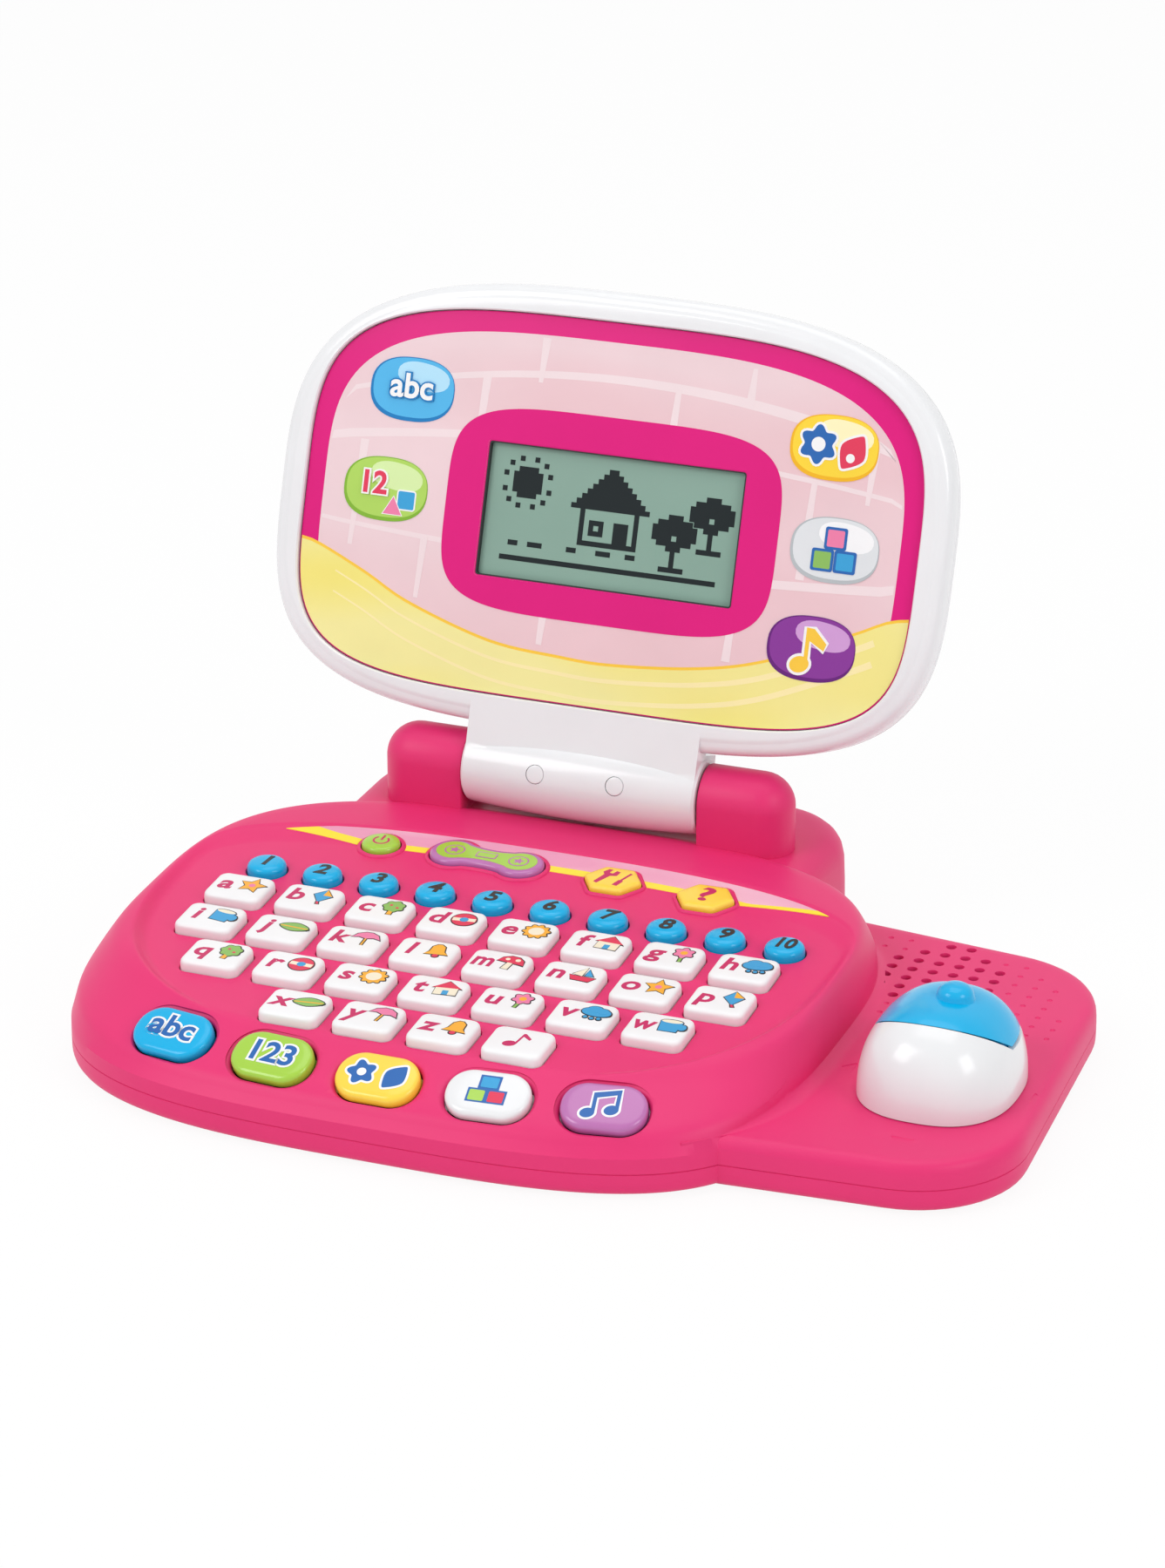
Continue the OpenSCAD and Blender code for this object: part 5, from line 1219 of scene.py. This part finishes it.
for shape, edge, ink in ((moved(round_rect(6, 6, 0.6), (-73.2, 85.0)), 0.5, INKS[SKY]),
                         (moved(plate_of(-3.4, -2.8, 3.4, -2.8, 0, 3.2), (-77.8, 82.6)), 0.5, INKS[ROSE]),
                         (petals((69.0, 121.0), 6.6, 6), 0.8, SYMBOL_BLUE)):
    face += edged([shape], edge, SYMBOL_WHITE, ink)
face.append((disc(69.0, 121.0, 2.4, 30), SYMBOL_WHITE))
face += edged([leaf((81.0, 119.6), 6.4, 4.6, 60)], 0.8, SYMBOL_WHITE, INKS[RED])
face.append((disc(80.4, 117.6, 1.5, 30), SYMBOL_WHITE))
for at, ink in (((75.0, 83.6), INKS[LEAF]), ((82.8, 83.6), INKS[SKY]), ((78.9, 91.0), INKS[ROSE])):
    face += [(moved(round_rect(7.6, 7.4, 0.8), at), SYMBOL_BLUE), (moved(round_rect(5.8, 5.6, 0.5), at), ink)]
tune = [plate_of(-2.1, -5.2, -0.7, -5.2, -0.7, 3.0, 4.4, 0.2, 5.2, 2.6, 0.6, 7.2, -2.1, 7.4),
        blob((-3.4, -5.0), 3.4, 2.7, 2, 30, 18)]
face += edged([moved(shape, (74.9, 53.6)) for shape in tune], 0.9, SYMBOL_WHITE, AMBER)
face_print = print_of("face_print", face, PLATE_TOP + 0.12, ON_LID, 0.007)
mount(face_print, "lid", "printed_sheet")

GLASS = streaked(finish_of("display_green", (0.235, 0.375, 0.31), 0.3, 500, 0.02, 0.25),
                 (0.30, 0.44, 0.37), 9, 0.6)
window = settle(soften(slab("display_window", screen_outline(0.8, 0.5), 6.25, 7.8)), ON_LID)
mount(paint(window, GLASS), "lid", "lcd_window", "lcd_window")
LCD_INK = finish_of("display_ink", (0.008, 0.014, 0.016), 0.4, 500, 0.02, 0.2)
LINING = finish_of("screen_lining", (0.03, 0.035, 0.035), 0.5, 900, 0.05, 0.2)
lining = slab("screen_lining", screen_outline(0.5, 1.0), 7.7, 9.85)
cut(lining, slab("view", screen_outline(-0.25, 0.8), 6, 12))
settle(lining, ON_LID)
mount(paint(lining, LINING), "lid", "lcd_window")
PIXEL, PIXEL_BACK, PIXEL_FRONT = 1.75, 7.7, 7.84
HOUSE = """.......##....... ......####...... .....######..... ....########.... ...##########...
    ..############.. .##############. ################ ..#..........#.. ..#..........#..
    ..#.###..###.#.. ..#.#.#..###.#.. ..#.###..###.#.. ..#......###.#.. ..############.."""
SUN = """...#..#... .#......#. ...####... #.######.# ..######.. ..######.. #.######.# ...####... .#......#.
    ...#..#..."""
TREE = """...###... .#######. ######### ######### ####.#### .#######. ...###... ....#.... ....#.... ....#....
    ..#####.."""
pixels = []
for drawing, left, top in ((HOUSE, -15, 104), (SUN, -40, 105), (TREE, 14.5, 91.75), (TREE, 27, 99),
                           ("#" * 44, -38.5, 71.5), ("##..###.....##....###...##", -36, 76.6)):
    for r, line in enumerate(drawing.split()):
        run = 0
        for k, mark in enumerate(line + "."):
            if mark == "#":
                run += 1
            elif run:
                x, y = left + (k - run) * PIXEL, top - r * PIXEL
                pixels.append(slab("pixel", box(x, y - PIXEL, x + run * PIXEL, y), PIXEL_BACK, PIXEL_FRONT))
                run = 0
display_print = settle(join(pixels, "display_print"), ON_LID)
mount(paint(display_print, LCD_INK), "lid", "lcd_window")

# ---- Mouse ---------------------------------------------------------------------------------------
# A white half-egg that slides a few millimetres on the platform, its far side a hinged blue button
# with a small gloss knob; both are thin gloss mouldings.

MOUSE_BASE_Z, MOUSE_H, MOUSE_HALF_W, MOUSE_HALF_L, MOUSE_N, MOUSE_DRAW = 17.8, 28.6, 25.0, 30.0, 2.5, 24.6
MOUSE_STEPS = (0, 2, 5, 9, 14, 20, 26, 32, 38, 44, 50, 56, 62, 68, 74, 79, 83, 86)
MOUSE_WALL, SKIRT_INSET, SKIRT_DROP = 1.6, 2.4, 3.2
CLICK_GAP, CLICK_SWING = 0.35, 2.3      # the slit round the button; degrees left free under it
CLICK_TOP_Y, CLICK_TOP_H, CLICK_EDGE_H, CLICK_SLOPE, FAR = -16.4, 26.8, 16.2, 0.66, 60


def mouse_rings(grow):
    """The half-egg from its foot to its top, made larger or smaller all round."""
    rings = []
    for a in map(radians, MOUSE_STEPS):
        inset = MOUSE_DRAW * (1 - cos(a) ** 0.82) - grow
        z = MOUSE_BASE_Z + (MOUSE_H + grow) * sin(a) ** 0.86
        half, reach = MOUSE_HALF_W - inset, MOUSE_HALF_L - inset
        rings.append(level(oval(half, reach, reach, MOUSE_N, MOUSE_N, 0, 120), z))
    return rings


def click_space(name, gap, press=0.0):
    """The room of the click button: all that lies above its edge, with room for its travel."""
    top = (CLICK_TOP_Y - gap, MOUSE_BASE_Z + CLICK_TOP_H)
    drop = top[1] - (MOUSE_BASE_Z + CLICK_EDGE_H - gap)
    edge = spun([(0, 0), (drop / CLICK_SLOPE, -drop), (FAR - top[0], -drop)], -press, top)
    side = [(top[0], FAR)] + edge + [(FAR, FAR)]
    return skin(name, [[(x, y, z) for y, z in side] for x in (-FAR, FAR)])


mouse_shell = skin("mouse_shell", mouse_rings(0))
mouse_inside = skin("mouse_inside", mouse_rings(-MOUSE_WALL))
mouse_inside.data.transform(Matrix.Translation((0, 0, -0.5)))
cut(mouse_shell, mouse_inside, click_space("cap_room", CLICK_GAP, CLICK_SWING))
# the button's skirt hangs inside the shell's wall, so the slit shows blue
mouse_cap, skirt = skin("mouse_cap", mouse_rings(0)), skin("cap_skirt", mouse_rings(-SKIRT_INSET))
combine(mouse_cap, click_space("cap_space", 0), "INTERSECT")
combine(skirt, click_space("skirt_space", SKIRT_DROP), "INTERSECT")
add(mouse_cap, skirt)
for piece, material, body, slot, node in ((mouse_shell, WHITE, "mouse", "white_abs", "mouse_body"),
                                          (mouse_cap, BLUE, "mouse_click_cap", "blue_abs", "mouse_button")):
    settle(soften(piece, 30), Matrix.Translation((MOUSE_X, MOUSE_Y, 0)))
    mount(paint(piece, material), body, slot, node)
KNOB_AT = (MOUSE_X + 2.3, MOUSE_Y + 3.4)
KNOB = [(6.6, 44.5), (6.3, 45.8), (5.9, 46.4), (5.75, 47.3), (5.4, 48.2), (4.7, 49.1), (3.6, 49.8),
        (2.2, 50.25), (0.9, 50.4)]
knob = hole("mouse_knob", KNOB_AT, KNOB, 48)
settle(soften(knob, 40))
mount(paint(knob, BLUE), "mouse_click_cap", "blue_abs")

# ---- Stage, light and camera ---------------------------------------------------------------------
# A pale floor that keeps the toy's shadow, a large soft box at the front left, a weaker one at the
# right and a soft ceiling.

bpy.ops.object.select_all(action="DESELECT")
bpy.ops.mesh.primitive_grid_add(x_subdivisions=8, y_subdivisions=8, size=8, location=(0, 0, -0.0002))
floor = bpy.context.active_object
floor.name = "studio_floor"
cover = bpy.data.materials.new("studio_paper")
cover.use_nodes = True
tree = cover.node_tree
shader = tree.nodes["Principled BSDF"]
for socket, value in (("Base Color", (0.92, 0.92, 0.92, 1)), ("Roughness", 0.9), ("Specular IOR Level", 0.1)):
    shader.inputs[socket].default_value = value
glow = add_node(tree, "Emission", {"Strength": 1.0})


def seen_by_camera(tree):
    """A light path node, and a mask of what the camera sees directly or mirrored."""
    path, seen = add_node(tree, "LightPath"), add_node(tree, "Math", operation="MAXIMUM")
    wire(tree, (path, "Is Camera Ray", seen, 0), (path, "Is Glossy Ray", seen, 1))
    return path, seen


path, seen = seen_by_camera(tree)
part = add_node(tree, "Math", {1: 0.92}, operation="MULTIPLY")
mixer = add_node(tree, "MixShader")
wire(tree, (seen, 0, part, 0), (part, 0, mixer, "Fac"), (shader, "BSDF", mixer, 1),
     (glow, "Emission", mixer, 2), (mixer, "Shader", tree.nodes["Material Output"], "Surface"))
floor.data.materials.append(cover)

world = bpy.data.worlds.new("studio")
bpy.context.scene.world = world
world.use_nodes = True
tree = world.node_tree
backdrop = tree.nodes["Background"]
backdrop.inputs["Color"].default_value = (1, 1, 1, 1)
backdrop.inputs["Strength"].default_value = 0.62
shown = add_node(tree, "Background", {"Color": (1, 1, 1, 1)})
path, seen = seen_by_camera(tree)
clear = add_node(tree, "Math", operation="MAXIMUM")
mixer = add_node(tree, "MixShader")
wire(tree, (seen, 0, clear, 0), (path, "Is Transmission Ray", clear, 1), (clear, 0, mixer, "Fac"),
     (backdrop, "Background", mixer, 1), (shown, "Background", mixer, 2),
     (mixer, "Shader", tree.nodes["World Output"], "Surface"))


LAMPS_AIM = Vector((0, 0, 0.05))


def soft_box(name, at, size, power):
    bpy.ops.object.light_add(type="AREA", location=at)
    lamp = bpy.context.active_object
    lamp.name = name
    lamp.data.shape, lamp.data.size, lamp.data.energy = "SQUARE", size, power
    lamp.rotation_euler = (LAMPS_AIM - Vector(at)).to_track_quat("-Z", "Y").to_euler()


soft_box("soft_box_left", (-1.1, -1.3, 1.5), 1.0, 13)
soft_box("soft_box_right", (1.6, -0.6, 1.1), 0.8, 8)
soft_box("soft_ceiling", (0.0, 0.3, 1.9), 1.4, 9)

AZIMUTH, ELEVATION = radians(21.068), radians(23.021)
CAMERA_AT, FOCAL_LENGTH = (543.6, -1334.5, 696.1), 112.5
bpy.ops.object.camera_add(location=HOME @ Vector(CAMERA_AT), rotation=(pi / 2 - ELEVATION, 0, AZIMUTH))
camera = bpy.context.active_object
camera.name = "studio_camera"
camera.data.lens = FOCAL_LENGTH
camera.data.sensor_width = 36
camera.data.clip_start, camera.data.clip_end = 0.05, 30
bpy.context.scene.camera = camera
bpy.context.scene.view_settings.view_transform = "Standard"
